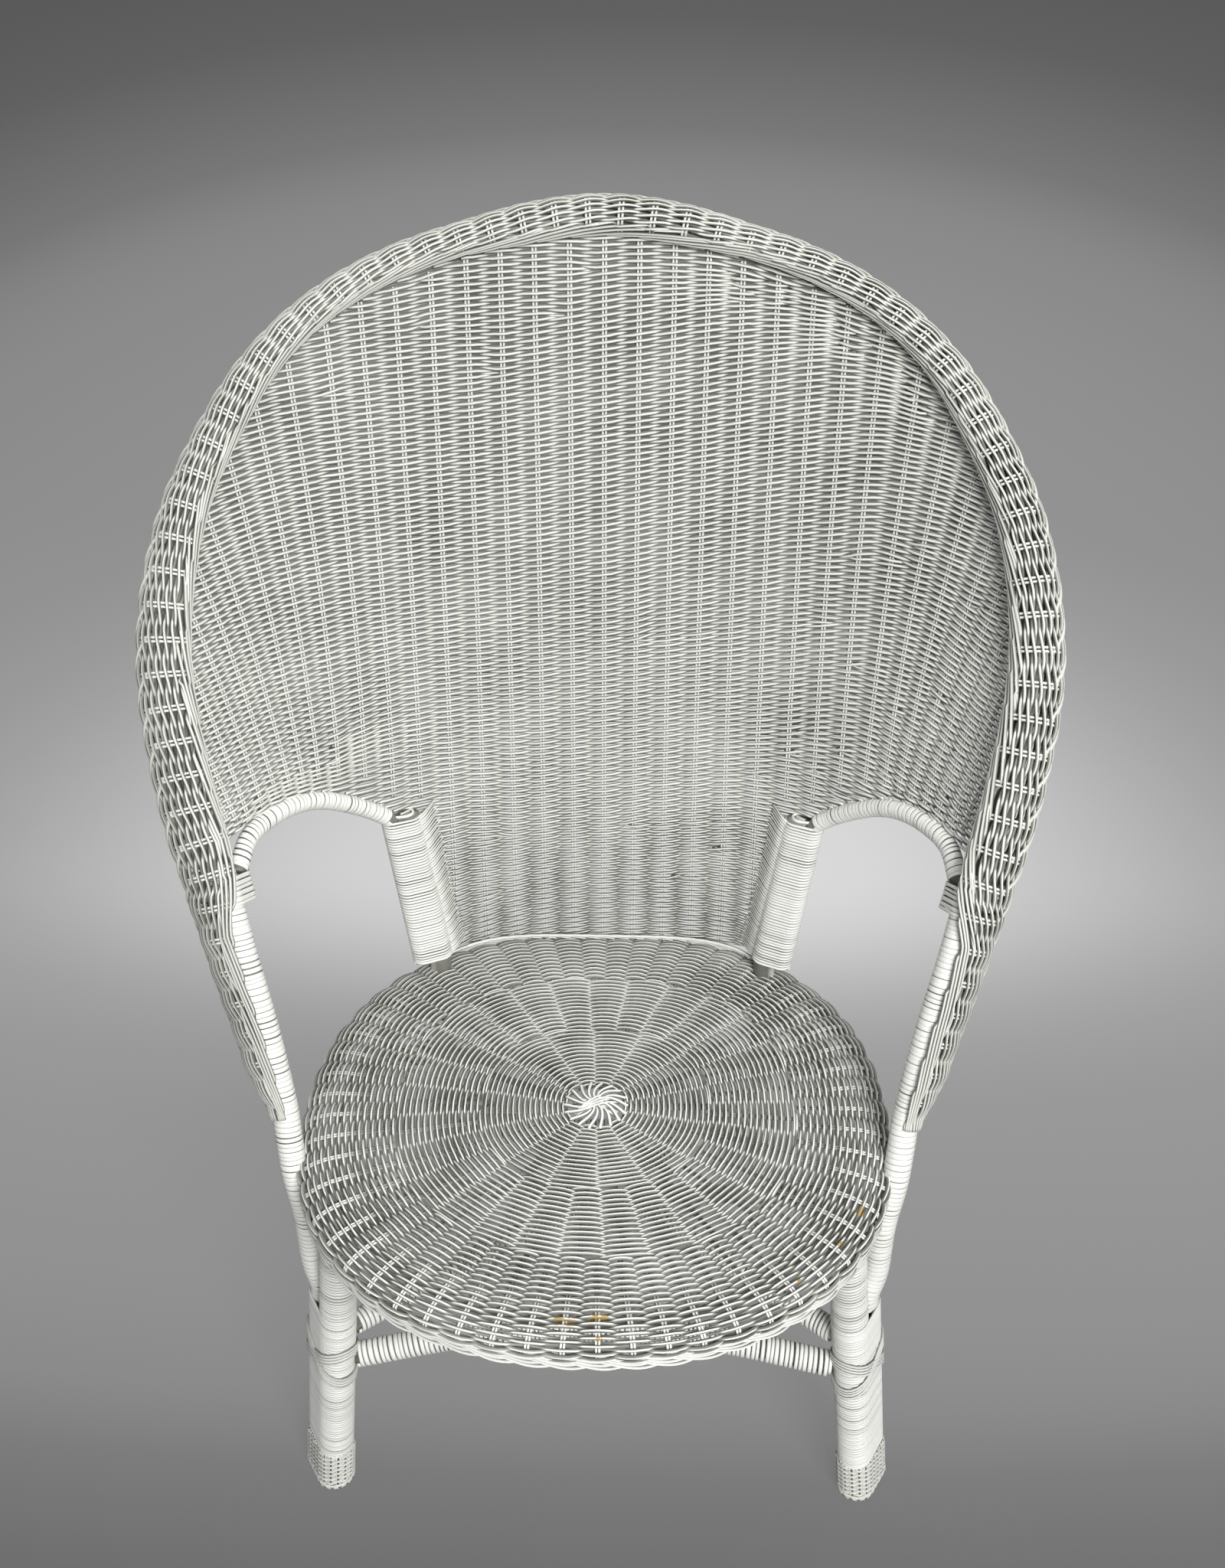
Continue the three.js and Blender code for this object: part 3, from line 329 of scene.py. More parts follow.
    def back_normal(self, x: Array, z: Array) -> Array:
        """Front-facing normals of the woven back."""
        d = self.normal_step
        slope_x = (self.back(x + d, z) - self.back(x - d, z)) / (2 * d)
        slope_z = (self.back(x, z + d) - self.back(x, z - d)) / (2 * d)
        return unit(np.stack([slope_x, -np.ones_like(slope_x), slope_z], -1))

    def rim(self, angle: Array | float) -> Array:
        """Distance from the knot to the seat's rim in a direction."""
        front = np.sin(angle) < 0
        power = np.where(front, self.front_square, self.back_square)
        reach = np.where(front, self.seat_front, self.seat_rear)
        across = np.abs(np.cos(angle)) / self.seat_half_width
        along = np.abs(np.sin(angle)) / reach
        return (across**power + along**power) ** (-1 / power)

    def border_frame(self, share: Array) -> dict[str, Array]:
        """Directions round the hoop's rod at shares of its length.

        Args:
            share: Shares of the hoop's length.

        Returns:
            The rod's points, the border's outward and rearward directions, and the border's
            reach from the rod's middle.
        """
        point, tangent = self.hoop.at(share), self.hoop.along(share)
        near_top = np.minimum(point[:, 2], self.hoop_top - 2 * self.hoop_radius)
        x = np.minimum(np.abs(point[:, 0]), self.half_width(near_top)) * self.border_inside_share
        normal = self.back_normal(x * np.sign(point[:, 0] + 1e-6), near_top)
        away = point * [1, 0, 1] - [0, 0, self.seat_height + self.hoop_rise / 2]
        slope = (self.lean(point[:, 2] + 1) - self.lean(point[:, 2] - 1)) / 2
        sheet = unit(np.stack([slope * 0, slope * 0 - 1, slope], -1))
        ways = []
        for surface in (sheet, normal):
            way = unit(np.cross(tangent, surface))
            ways.append(way * np.sign((way * away).sum(-1, keepdims=True)))
        t = (point[:, 2] - self.seat_height) / self.hoop_rise
        low, high = self.border_turn
        s = np.clip((t - low) / (high - low), 0, 1)[:, None]
        out = unit(ways[0] + ways[1] * (s * s * (3 - 2 * s)))
        rear = unit(np.cross(tangent, out))
        reach = 2 * self.hoop_radius * read_table(self.reach_shares, t)
        return {"point": point, "out": out, "rear": rear, "reach": reach}


class StrandMesh:
    """Collects reeds and flat canes, and makes one mesh of them."""

    LAYER_SPREAD = 1.15

    def __init__(self, shape: ChairShape, sides: int = 6) -> None:
        """Starts an empty bundle.

        Args:
            shape: The chair's sizes, for the place of its origin.
            sides: Corners round one strand, an even number.
        """
        self.shape, self.sides = shape, sides
        self.points: list[Array] = []
        self.faces: list[Array] = []
        self.tones: list[Array] = []
        self.shade_depths: list[Array] = []
        self.count = 0

    def strand(self, path: Array, up: Array, width: Array | float,
               height: Array | float | None = None, tone: float = 0.5,
               layer: Array | float = 1.0, closed: bool = False, square: float = 1.0,
               side_shade: Array | float = 1.0) -> None:
        """Adds one strand along a path.

        Args:
            path: Its middle, in millimetres.
            up: The way its upper side faces, one vector or one for each point.
            width: Its size across.
            height: Its size along up, the width where it is left out.
            tone: Its own shade, from 0 to 1.
            layer: Where it lies in the weave, from -1 on the lower side to 1 on the upper one.
            closed: Whether it runs back into its start.
            square: 1 for a round reed, less for a flat cane.
            side_shade: How much painted shade its sides take, where the weave hides them from the
                light.
        """
        n, sides = len(path), self.sides
        if closed:
            slope = np.roll(path, -1, 0) - np.roll(path, 1, 0)
        else:
            slope = np.gradient(path, axis=0)
        slope = unit(slope)
        across = unit(np.cross(slope, np.broadcast_to(up, path.shape)))
        over = np.cross(across, slope)
        turn = 2 * math.pi * (np.arange(sides) + 0.5) / sides
        bend = [np.sign(f(turn)) * np.abs(f(turn)) ** square for f in (np.cos, np.sin)]
        tall = width if height is None else height
        wide, tall = (np.broadcast_to(np.asarray(v, float) / 2, (n,)) for v in (width, tall))
        rings = (path[:, None] + across[:, None] * (bend[0][None, :, None] * wide[:, None, None])
                 + over[:, None] * (bend[1][None, :, None] * tall[:, None, None]))
        self.points.append(rings.reshape(-1, 3))
        self.tones.append(np.full(n * sides, tone))
        # Painted shade: the strand's sides, and the faces that its layer hides in the weave, get a
        # value that darkens the paint where shade falls.
        layer = self.LAYER_SPREAD * np.broadcast_to(layer, (n,))[:, None]
        top, low = np.maximum(np.sin(turn), 0), np.maximum(-np.sin(turn), 0)
        bare = top * np.clip(1 + layer, 0, 1) + low * np.clip(1 - layer, 0, 1)
        self.shade_depths.append(((1 - bare) * np.broadcast_to(side_shade, (n,))[:, None]).ravel())
        i = np.arange(n if closed else n - 1)[:, None] * sides
        j = np.arange(sides)[None, :]
        k = (j + 1) % sides
        after = (i + sides) % (n * sides)
        quads = np.stack([i + j, i + k, after + k, after + j], -1).reshape(-1, 4)
        if not closed:
            last = (n - 1) * sides
            caps = np.array([[c - 1, sides - c, sides - c - 1, c] for c in range(1, sides // 2)])
            quads = np.vstack([quads, caps, caps[:, ::-1] + last])
        self.faces.append(quads + self.count)
        self.count += n * sides

    def build(self, name: str) -> bpy.types.Object:
        """Makes the object.

        Args:
            name: Its name.

        Returns:
            The object, with its strands' tones and their painted shade as attributes.
        """
        points = (np.vstack(self.points) + [0, self.shape.shift_y, 0]) * MM
        faces = np.vstack(self.faces)
        mesh = bpy.data.meshes.new(name)
        mesh.vertices.add(len(points))
        mesh.vertices.foreach_set("co", points.ravel().astype(np.float32))
        mesh.loops.add(faces.size)
        mesh.loops.foreach_set("vertex_index", faces.ravel().astype(np.int32))
        mesh.polygons.add(len(faces))
        mesh.polygons.foreach_set("loop_start", np.arange(0, faces.size, 4, dtype=np.int32))
        mesh.update(calc_edges=True)
        mesh.validate()
        mesh.polygons.foreach_set("use_smooth", np.ones(len(faces), bool))
        for key, values in (("tone", self.tones), ("nook", self.shade_depths)):
            layer = mesh.attributes.new(key, "FLOAT", "POINT")
            layer.data.foreach_set("value", np.concatenate(values).astype(np.float32))
        obj = bpy.data.objects.new(name, mesh)
        bpy.context.scene.collection.objects.link(obj)
        return obj


def fill(node: bpy.types.Node, inputs: dict[str | int, object]) -> None:
    """Fills a node's inputs, each with a link from a socket or with a value."""
    for key, value in inputs.items():
        if isinstance(value, bpy.types.NodeSocket):
            node.id_data.links.new(value, node.inputs[key])
        else:
            node.inputs[key].default_value = value


def add_node(tree: bpy.types.NodeTree, kind: str, inputs: dict[str | int, object],
             **settings: object) -> bpy.types.Node:
    """Adds a shader node.

    Args:
        tree: Where it goes.
        kind: Its type, without the prefix that all shader nodes share.
        inputs: The sockets or values that fill its inputs.
        settings: Its properties.

    Returns:
        The node.
    """
    node = tree.nodes.new(f"ShaderNode{kind}")
    for name, value in settings.items():
        setattr(node, name, value)
    fill(node, inputs)
    return node


def calculate(tree: bpy.types.NodeTree, operation: str, *terms: object,
              clamp: bool = False) -> bpy.types.NodeSocket:
    """Adds a maths node and gives its result."""
    node = add_node(tree, "Math", dict(enumerate(terms)), operation=operation, use_clamp=clamp)
    return node.outputs["Value"]


def mixed(tree: bpy.types.NodeTree, share: bpy.types.NodeSocket, first: object,
          second: object) -> bpy.types.NodeSocket:
    """Adds a mix of two colours and gives its result."""
    node = add_node(tree, "Mix", {"Factor": share, 6: first, 7: second}, data_type="RGBA")
    return node.outputs[2]


class PaintLayer:
    """Node group for brushed paint on cane: tone, painted shade in the gaps, sheen and brush marks.
    """

    NAME = "paint_on_cane"

    def __init__(self) -> None:
        """Builds the group once."""
        self.group = bpy.data.node_groups.new(self.NAME, "ShaderNodeTree")
        for name, kind, value in (
                ("Paint", "Color", (0.8, 0.8, 0.76, 1)), ("Grime", "Color", (0.3, 0.29, 0.25, 1)),
                ("Position", "Vector", (0, 0, 0)), ("Tone", "Float", 0.5), ("Nook", "Float", 0.0),
                ("Tone Range", "Float", 0.1), ("Painted Shade Share", "Float", 0.5),
                ("Rough", "Float", 0.4)):
            self.socket(name, "INPUT", kind).default_value = value
        for name, kind in (("Color", "Color"), ("Roughness", "Float"), ("Height", "Float")):
            self.socket(name, "OUTPUT", kind)
        self.lay_nodes()

    def socket(self, name: str, way: str, kind: str) -> bpy.types.NodeTreeInterfaceSocket:
        """Adds a named input or output to the group."""
        return self.group.interface.new_socket(name, in_out=way, socket_type=f"NodeSocket{kind}")

    def lay_nodes(self) -> None:
        """Wires the group's nodes."""
        tree = self.group
        source = tree.nodes.new("NodeGroupInput").outputs
        blotch, fine = (
            add_node(tree, "TexNoise", {"Vector": source["Position"], "Scale": scale,
                                        "Detail": detail}).outputs["Fac"]
            for scale, detail in ((14.0, 4.0), (900.0, 3.0)))
        # Painted shade: the shade value, broken up by blotchy noise, mixes the dark shade colour
        # over the paint.
        nook = add_node(tree, "MapRange", {"Value": source["Nook"], "From Min": 0.2,
                                           "From Max": 0.75})
        spread = add_node(tree, "MapRange", {"Value": blotch, "From Min": 0.3, "From Max": 0.7,
                                             "To Min": 0.7})
        patchy = calculate(tree, "MULTIPLY", nook.outputs["Result"], spread.outputs["Result"])
        shade_mask = calculate(tree, "MULTIPLY", patchy, source["Painted Shade Share"], clamp=True)
        tone = calculate(tree, "SUBTRACT", source["Tone"], 0.5)
        swing = calculate(tree, "MULTIPLY_ADD", tone, source["Tone Range"], 1.0)
        shaded = add_node(tree, "VectorMath", {0: source["Paint"], "Scale": swing},
                          operation="SCALE")
        rough = calculate(tree, "MULTIPLY_ADD", shade_mask, 0.3, source["Rough"])
        fill(tree.nodes.new("NodeGroupOutput"), {
            "Color": mixed(tree, shade_mask, shaded.outputs["Vector"], source["Grime"]),
            "Roughness": calculate(tree, "MULTIPLY_ADD", blotch, 0.12, rough),
            "Height": fine})


@dataclass(frozen=True)
class PaintedCane:
    """White paint on reeds and canes, with painted shade in their gaps."""

    name: str
    slot: str
    paint: Triple = (0.78, 0.78, 0.72)
    # Near-black painted shade laid into the weave's gaps and strand sides, and how much of it they
    # take.
    grime: Triple = (0.055, 0.053, 0.04)
    tone_range: float = 0.12
    painted_shade_share: float = 0.92
    rough: float = 0.33
    bump: float = 0.15
    bump_depth: float = 0.0004
    bare_spots: tuple[tuple[float, float, float, float], ...] = ()
    bare: Triple = (0.46, 0.30, 0.10)

    def material(self, layer: PaintLayer) -> bpy.types.Material:
        """Makes the material.

        Args:
            layer: The shared paint group.

        Returns:
            The material.
        """
        mat = bpy.data.materials.new(self.name)
        mat.use_nodes = True
        tree = mat.node_tree
        place = add_node(tree, "TexCoord", {}).outputs["Object"]
        tone, nook = (add_node(tree, "Attribute", {}, attribute_name=key).outputs["Fac"]
                      for key in ("tone", "nook"))
        paint = add_node(tree, "Group", {
            "Paint": (*self.paint, 1), "Grime": (*self.grime, 1), "Position": place, "Tone": tone,
            "Nook": nook, "Tone Range": self.tone_range, "Painted Shade Share": self.painted_shade_share,
            "Rough": self.rough}, node_tree=layer.group).outputs
        bump = add_node(tree, "Bump", {"Strength": self.bump, "Distance": self.bump_depth,
                                       "Height": paint["Height"]})
        fill(tree.nodes["Principled BSDF"], {
            "Base Color": self.worn(tree, place, paint["Color"]), "Roughness": paint["Roughness"],
            "Normal": bump.outputs["Normal"]})
        return mat

    def worn(self, tree: bpy.types.NodeTree, place: bpy.types.NodeSocket,
             colour: bpy.types.NodeSocket) -> bpy.types.NodeSocket:
        """Lays bare cane over the paint at the worn spots, if there are any.

        Args:
            tree: The material's nodes.
            place: The place on the object.
            colour: The painted colour.

        Returns:
            The colour with the bare spots on it.
        """
        if not self.bare_spots:
            return colour
        ragged = add_node(tree, "TexNoise", {"Vector": place, "Scale": 260.0}).outputs["Fac"]
        for x, y, z, radius in self.bare_spots:
            away = add_node(tree, "VectorMath", {0: place, 1: (x, y, z)}, operation="DISTANCE")
            uneven = calculate(tree, "MULTIPLY_ADD", ragged, radius * 2.4, away.outputs["Value"])
            mask = add_node(tree, "MapRange", {"Value": uneven, "From Min": radius * 2.1,
                                               "From Max": radius * 1.8})
            colour = mixed(tree, mask.outputs["Result"], colour, (*self.bare, 1))
        return colour


@dataclass
class Maker:
    """What every sub-assembly shares."""

    shape: ChairShape
    finishes: dict[str, tuple[bpy.types.Material, str]]

    def place(self, strands: StrandMesh, name: str, finish: str, *nodes: str) -> None:
        """Builds the collected strands as a piece, dresses it and ties it to the frame.

        Args:
            strands: The strands.
            name: The piece's name.
            finish: Which of the finishes it has.
            nodes: The CAD nodes that it stands for.
        """
        obj = strands.build(name)
        material, slot = self.finishes[finish]
        obj.data.materials.append(material)
        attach(obj, BODY)
        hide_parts(*nodes)
        LOG.info("%s: %d faces", obj.name, len(obj.data.polygons))


@dataclass
class WovenBack(Maker):
    """The fan back: paired stakes and plain rows between the hoop, the seat and the arches."""

    row_pitch: float = 2.95
    reed: float = 3.0
    stake_reed: float = 2.5
    wave: float = 2.7
    per_stake: int = 6
    tuck: float = 8.0
    tuck_depth: float = 5.0
    edge_room: float = 12.4
    first_row_z: float = 424.0
    grid_step: float = 4.0
    jitter: float = 0.12
    # Least room for a single row and for a pair, as shares of a row's rise
    least_room: Pair = (1.2, 1.85)
    least_lengths: Pair = (20.0, 12.0)
    foot_step: float = 31.0
    foot_reed: float = 3.4
    lift_places: tuple[int, ...] = tuple(range(-350, 351, 50))
    lifts: tuple[tuple[int, tuple[int, ...]], ...] = (
        (460, (-20, -20, -20, -20, -20, -14, -6, 0, 1, 3, 7, 7, 7, 7, 7)),
        (496, (-10, -10, -10, -10, -10, -11, -5, 0, 3, 8, 13, 13, 13, 13, 13)),
        (566, (-3, -3, -3, -3, -5, -9, -7, 0, 6, 12, 24, 27, 27, 27, 27)),
        (634, (32, 32, 12, -1, -8, -9, -6, 0, 7, 12, 21, 39, 58, 56, 38)),
        (699, (5, -1, -13, -13, -14, -13, -8, 0, 7, 15, 25, 39, 55, 61, 41)),
        (761, (-9, -11, -17, -16, -15, -13, -8, 0, 9, 17, 28, 40, 53, 57, 36)),
        (822, (-22, -20, -21, -22, -19, -15, -9, 0, 9, 17, 27, 39, 54, 56, 52)),
        (881, (-25, -20, -21, -20, -18, -15, -9, 0, 9, 18, 29, 40, 51, 53, 44)),
        (938, (-30, -24, -23, -22, -20, -16, -9, 0, 6, 15, 25, 36, 45, 41, 38)),
        (992, (-26, -25, -20, -19, -17, -14, -7, 0, 8, 16, 25, 34, 33, 15, 15)),
        (1046, (-26, -26, -21, -15, -12, -10, -6, 0, 7, 14, 18, 15, 0, 0, 0)),
        (1091, (-20, -20, -20, -20, -7, -3, -1, 0, 1, 0, -8, -16, -16, -16, -16)))
    # Foot and head of each stake in one half, on the back's own surface
    stakes: tuple[tuple[float, float, float, float], ...] = (
        (0, 419, 0, 1124), (31, 419, 31, 1122), (62, 419, 62, 1120), (92, 419, 92, 1116),
        (123, 419, 122, 1108), (153, 440, 153, 1098), (182, 600, 184, 1085),
        (206, 611, 214, 1067), (229, 640, 243, 1045), (250, 656, 275, 1018),
        (265, 664, 301, 985), (276, 668, 324, 952), (285, 671, 342, 915), (294, 672, 353, 888),
        (303, 673, 360, 862), (312, 674, 365, 838), (320, 680, 363, 800), (326, 686, 357, 765))

    def build(self, seed: int = 11) -> None:
        """Weaves the panel.

        Args:
            seed: Seed of the strands' unevenness.
        """
        self.rng = np.random.default_rng(seed)
        self.low_line = self.low_edge()
        self.field = self.distance_field()
        rows = self.row_spans()
        third = len(rows) // 3 + 1
        for part, name in enumerate(("lower", "middle", "upper")):
            strands = StrandMesh(self.shape)
            for path, up, layer in rows[part * third:(part + 1) * third]:
                tone = float(self.rng.uniform(0, 1))
                # Near the seat the rows get thinner and take deeper painted shade in their gaps.
                low = np.interp(path[:, 2], (440, 600), (1, 0))
                width = self.reed * self.rng.uniform(0.94, 1.04) * (1 - 0.15 * low)
                strands.strand(path, up, width, width * (1 + 0.3 * low), tone, layer,
                               side_shade=1.2 + 1.1 * low)
            self.place(strands, f"back_rows_{name}", "weave", "back_panel")
        self.place(self.stake_pairs(), "back_stakes", "stake", "back_panel")
        self.place(self.foot_row(), "back_foot_row", "weave", "back_foot_braid")

    def low_edge(self) -> tuple[Array, Array]:
        """Lower edge of the weave in one half, as places and heights."""
        s = self.shape
        aside, hidden_z = 14.5, 419
        xs = [0, s.post_foot[0] - aside, s.post_foot[0] - aside + 0.5, s.post_head[0] - aside,
              s.post_head[0] + 8]
        zs = [hidden_z, hidden_z, 434, s.post_head[2] - 8, s.post_head[2] - 1]
        start = s.arch.share_at_height(s.post_head[2] + 14)
        for share in np.linspace(start, 0.93, 40):
            p, t = s.arch.at(share), s.arch.along(share)
            up = np.cross(s.back_normal(p[0], p[2]), t)
            p = p + unit(up * np.sign(up[2])) * 8.0
            if p[0] > xs[-1]:
                xs.append(p[0])
                zs.append(p[2])
        return np.array(xs), np.array(zs)

    def distance_field(self) -> tuple[Array, Array, Array]:
        """How far each place on the back lies from the hoop's middle, on a grid."""
        s = self.shape
        x, z = np.arange(0, 373.0, self.grid_step), np.arange(400, 1141.0, self.grid_step)
        gx, gz = np.meshgrid(x, z, indexing="ij")
        points = s.on_back(gx, gz).reshape(-1, 3)
        rod = s.hoop.dense[:len(s.hoop.dense) // 2 + 40:4]
        near = np.min([np.linalg.norm(points - q, axis=1) for q in rod], axis=0)
        return x, z, near.reshape(gx.shape)

    def to_hoop(self, x: Array, z: Array) -> Array:
        """Distance of places on the back from the hoop's middle, less than 0 outside it.

        Args:
            x: Their places across.
            z: Their heights.
        """
        gx, gz, near = self.field
        a = np.clip((np.abs(x) - gx[0]) / self.grid_step, 0, len(gx) - 1.001)
        b = np.clip((z - gz[0]) / self.grid_step, 0, len(gz) - 1.001)
        i, j = a.astype(int), b.astype(int)
        fa, fb = a - i, b - j
        value = (near[i, j] * (1 - fa) * (1 - fb) + near[i + 1, j] * fa * (1 - fb)
                 + near[i, j + 1] * (1 - fa) * fb + near[i + 1, j + 1] * fa * fb)
        outside = (np.abs(x) > self.shape.half_width(z)) | (z > self.shape.hoop_top)
        return np.where(outside, -value, value)

    def row_heights(self, start: float, x: Array) -> Array:
        """Height of one row across the back.

        Args:
            start: Its height at the chair's middle.
            x: Where to read it.
        """
        levels = [z for z, _ in self.lifts]
        lines = np.array([values for _, values in self.lifts], float)
        line = np.array([np.interp(start, levels, c) for c in lines.T])
        return start + np.interp(x, self.lift_places, line)

    def stake_number(self, x: Array, z: Array) -> Array:
        """Which stake a place lies at, counted from the middle, with parts between stakes."""
        x0, z0, x1, z1 = (np.array(c, float) for c in zip(*self.stakes))
        a, high = np.abs(x), z[:, None]
        lines = x0 + (x1 - x0) * (high - z0) / (z1 - z0)
        lines = np.maximum.accumulate(lines, axis=1)
        i = np.clip((lines <= a[:, None]).sum(1) - 1, 0, len(x0) - 2)
        rows = np.arange(len(a))
        low, up = lines[rows, i], lines[rows, i + 1]
        return np.sign(x) * (i + np.clip((a - low) / np.maximum(up - low, 1), 0, 3))

    def rise_per_row(self, x: Array, z: Array) -> Array:
        """Height that one row takes, where the back slants or the row does.

        Args:
            x: Places along the row.
            z: Heights along it.
        """
        path = self.shape.on_back(x, z)
        row = unit(np.gradient(path, axis=0))
        lean = self.shape.back(x, z + 1) - path[:, 1]
        step = np.stack([0 * x, lean, 0 * x + 1], -1)
        return self.row_pitch / np.maximum(np.linalg.norm(np.cross(step, row), axis=1), 0.35)

    def row_spans(self) -> list[tuple[Array, Array, Array]]:
        """Paths of all the rows, in pairs beaten down on the rows under them."""
        x = np.arange(-366, 366.1, 2.0)
        last = np.full(len(x), -1e3)
        soft = np.hanning(19) / np.hanning(19).sum()
        rows = []
        least, least_of_pair = self.least_room
        least_span, least_piece = self.least_lengths
        for level in np.arange(self.first_row_z, self.shape.hoop_top + 60, 2 * self.row_pitch):
            aim = self.row_heights(level, x)
            rise = self.rise_per_row(x, aim)
            for _ in range(2):
                known = last > 0
                lag = np.where(known, aim - last, 2.5 * rise) / rise
                field = (self.to_hoop(x, aim) > self.edge_room - 6) & (
                    aim + rise > np.interp(np.abs(x), *self.low_line))
                taken = [(a, b) for a, b in self.runs(field & (lag > least))
                         if lag[a:b + 1].max() > least_of_pair and x[b] - x[a] > least_span]
                if not taken:
                    break
                for a, b in taken:
                    span = slice(a, b + 1)
                    base = np.where(known[span], last[span], aim[span] - 2 * rise[span])
                    room = rise[span] * np.clip(lag[span] / 2, 0.6, 1)
                    for parity in (0, 1):
                        z = base + (parity + 1) * room
                        z = np.convolve(np.pad(z, 9, "edge"), soft, "valid")
                        px = x[span]
                        kept = (self.to_hoop(px, z) > self.edge_room) & (
                            z > np.interp(np.abs(px), *self.low_line))
                        for c, d in self.runs(kept):
                            if px[d] - px[c] > least_piece:
                                inside = (c == 0 and a > 0 and field[a - 1],
                                          d == len(px) - 1 and b < len(x) - 1 and field[b + 1])
                                rows.append(self.row_path(px[c:d + 1], z[c:d + 1], parity,
                                                          inside))
                    last[span] = z
        return rows

    @staticmethod
    def runs(mask: Array) -> list[tuple[int, int]]:
        """First and last places of each stretch where a mask holds."""
        edges = np.flatnonzero(np.diff(np.concatenate([[0], mask.astype(int), [0]])))
        return [(a, b - 1) for a, b in zip(edges[::2], edges[1::2])]

    def row_path(self, x: Array, z: Array, parity: int,
                 inside: tuple[bool, bool]) -> tuple[Array, Array, Array]:
        """One row, in front of one stake and behind the next.

        Args:
            x: Its places across the back.
            z: Its heights there.
            parity: Whether it starts in front or behind.
            inside: Whether each end lies within the weave, where it tucks in behind.
        """
        before, after = (self.tuck * np.array([1.0, 0.5]) * flag for flag in inside)
        x = np.concatenate([x[0] - before, x, x[-1] + after[::-1]])
        z = np.pad(z, 2, "edge")
        number = self.stake_number(x, z)
        number = np.maximum.accumulate(number) + np.arange(len(x)) * 1e-6
        count = max(int((number[-1] - number[0]) * self.per_stake), 3)
        at = np.linspace(number[0], number[-1], count + 1)
        px, pz = np.interp(at, number, x), np.interp(at, number, z)
        up = self.shape.back_normal(px, pz)
        phase = np.cos(math.pi * (at + parity))
        beyond = np.clip(np.abs(at) - (len(self.stakes) - 1.5), 0, 1)
        depth = self.wave * phase * (1 - 0.75 * beyond)
        for flag, away in zip(inside, (px - px[0], px[-1] - px)):
            if flag:
                near = np.clip(1 - away / (1.6 * self.tuck), 0, 1)
                depth = depth - self.tuck_depth * near
        pz = pz + self.rng.normal(0, self.jitter, len(pz))
        # The phase goes out as the row's layer: painted shade where the row dips behind a stake.
        return self.shape.on_back(px, pz) + up * depth[:, None], up, phase

    def stake_pairs(self) -> StrandMesh:
        """The upright stakes, two side by side."""
        strands = StrandMesh(self.shape)
        for side in Side:
            for x0, z0, x1, z1 in self.stakes[side is Side.LEFT:]:
                t = np.linspace(0, 1.3, 80)
                reach = self.to_hoop(x0 + (x1 - x0) * t, z0 + (z1 - z0) * t)
                t = t[(reach > self.edge_room) | (t < 0.4)]
                x, z = side.value * (x0 + (x1 - x0) * t), z0 + (z1 - z0) * t
                up, path = self.shape.back_normal(x, z), self.shape.on_back(x, z)
                across = unit(np.cross(np.gradient(path, axis=0), up))
                for shift in (-0.5, 0.5):
                    strands.strand(path + across * shift * (self.stake_reed + 0.35), up,
                                   self.stake_reed, tone=float(self.rng.uniform(0.4, 1)))
        return strands

    def foot_row(self) -> StrandMesh:
        """The closing row on the seat: slanting reeds, each under the next."""
        s = self.shape
        strands = StrandMesh(s)
        half, step = s.post_foot[0] - 6, self.foot_step
        for start in np.arange(-half - step * 0.4, half - step * 0.9, step / 2):
            t = np.linspace(0, 1, 14)
            x = np.clip(start + step * 1.5 * t, -half, half)
            z = 421.5 + 3.2 * np.sin(math.pi * t) + 2.4 * (1 - t)
            up = s.back_normal(x, z)
            out = 4.6 + 2.6 * np.sin(math.pi * t)
            path = s.on_back(x, z) + up * out[:, None]
            strands.strand(path, up, self.foot_reed, tone=float(self.rng.uniform(0.3, 1)))
        return strands


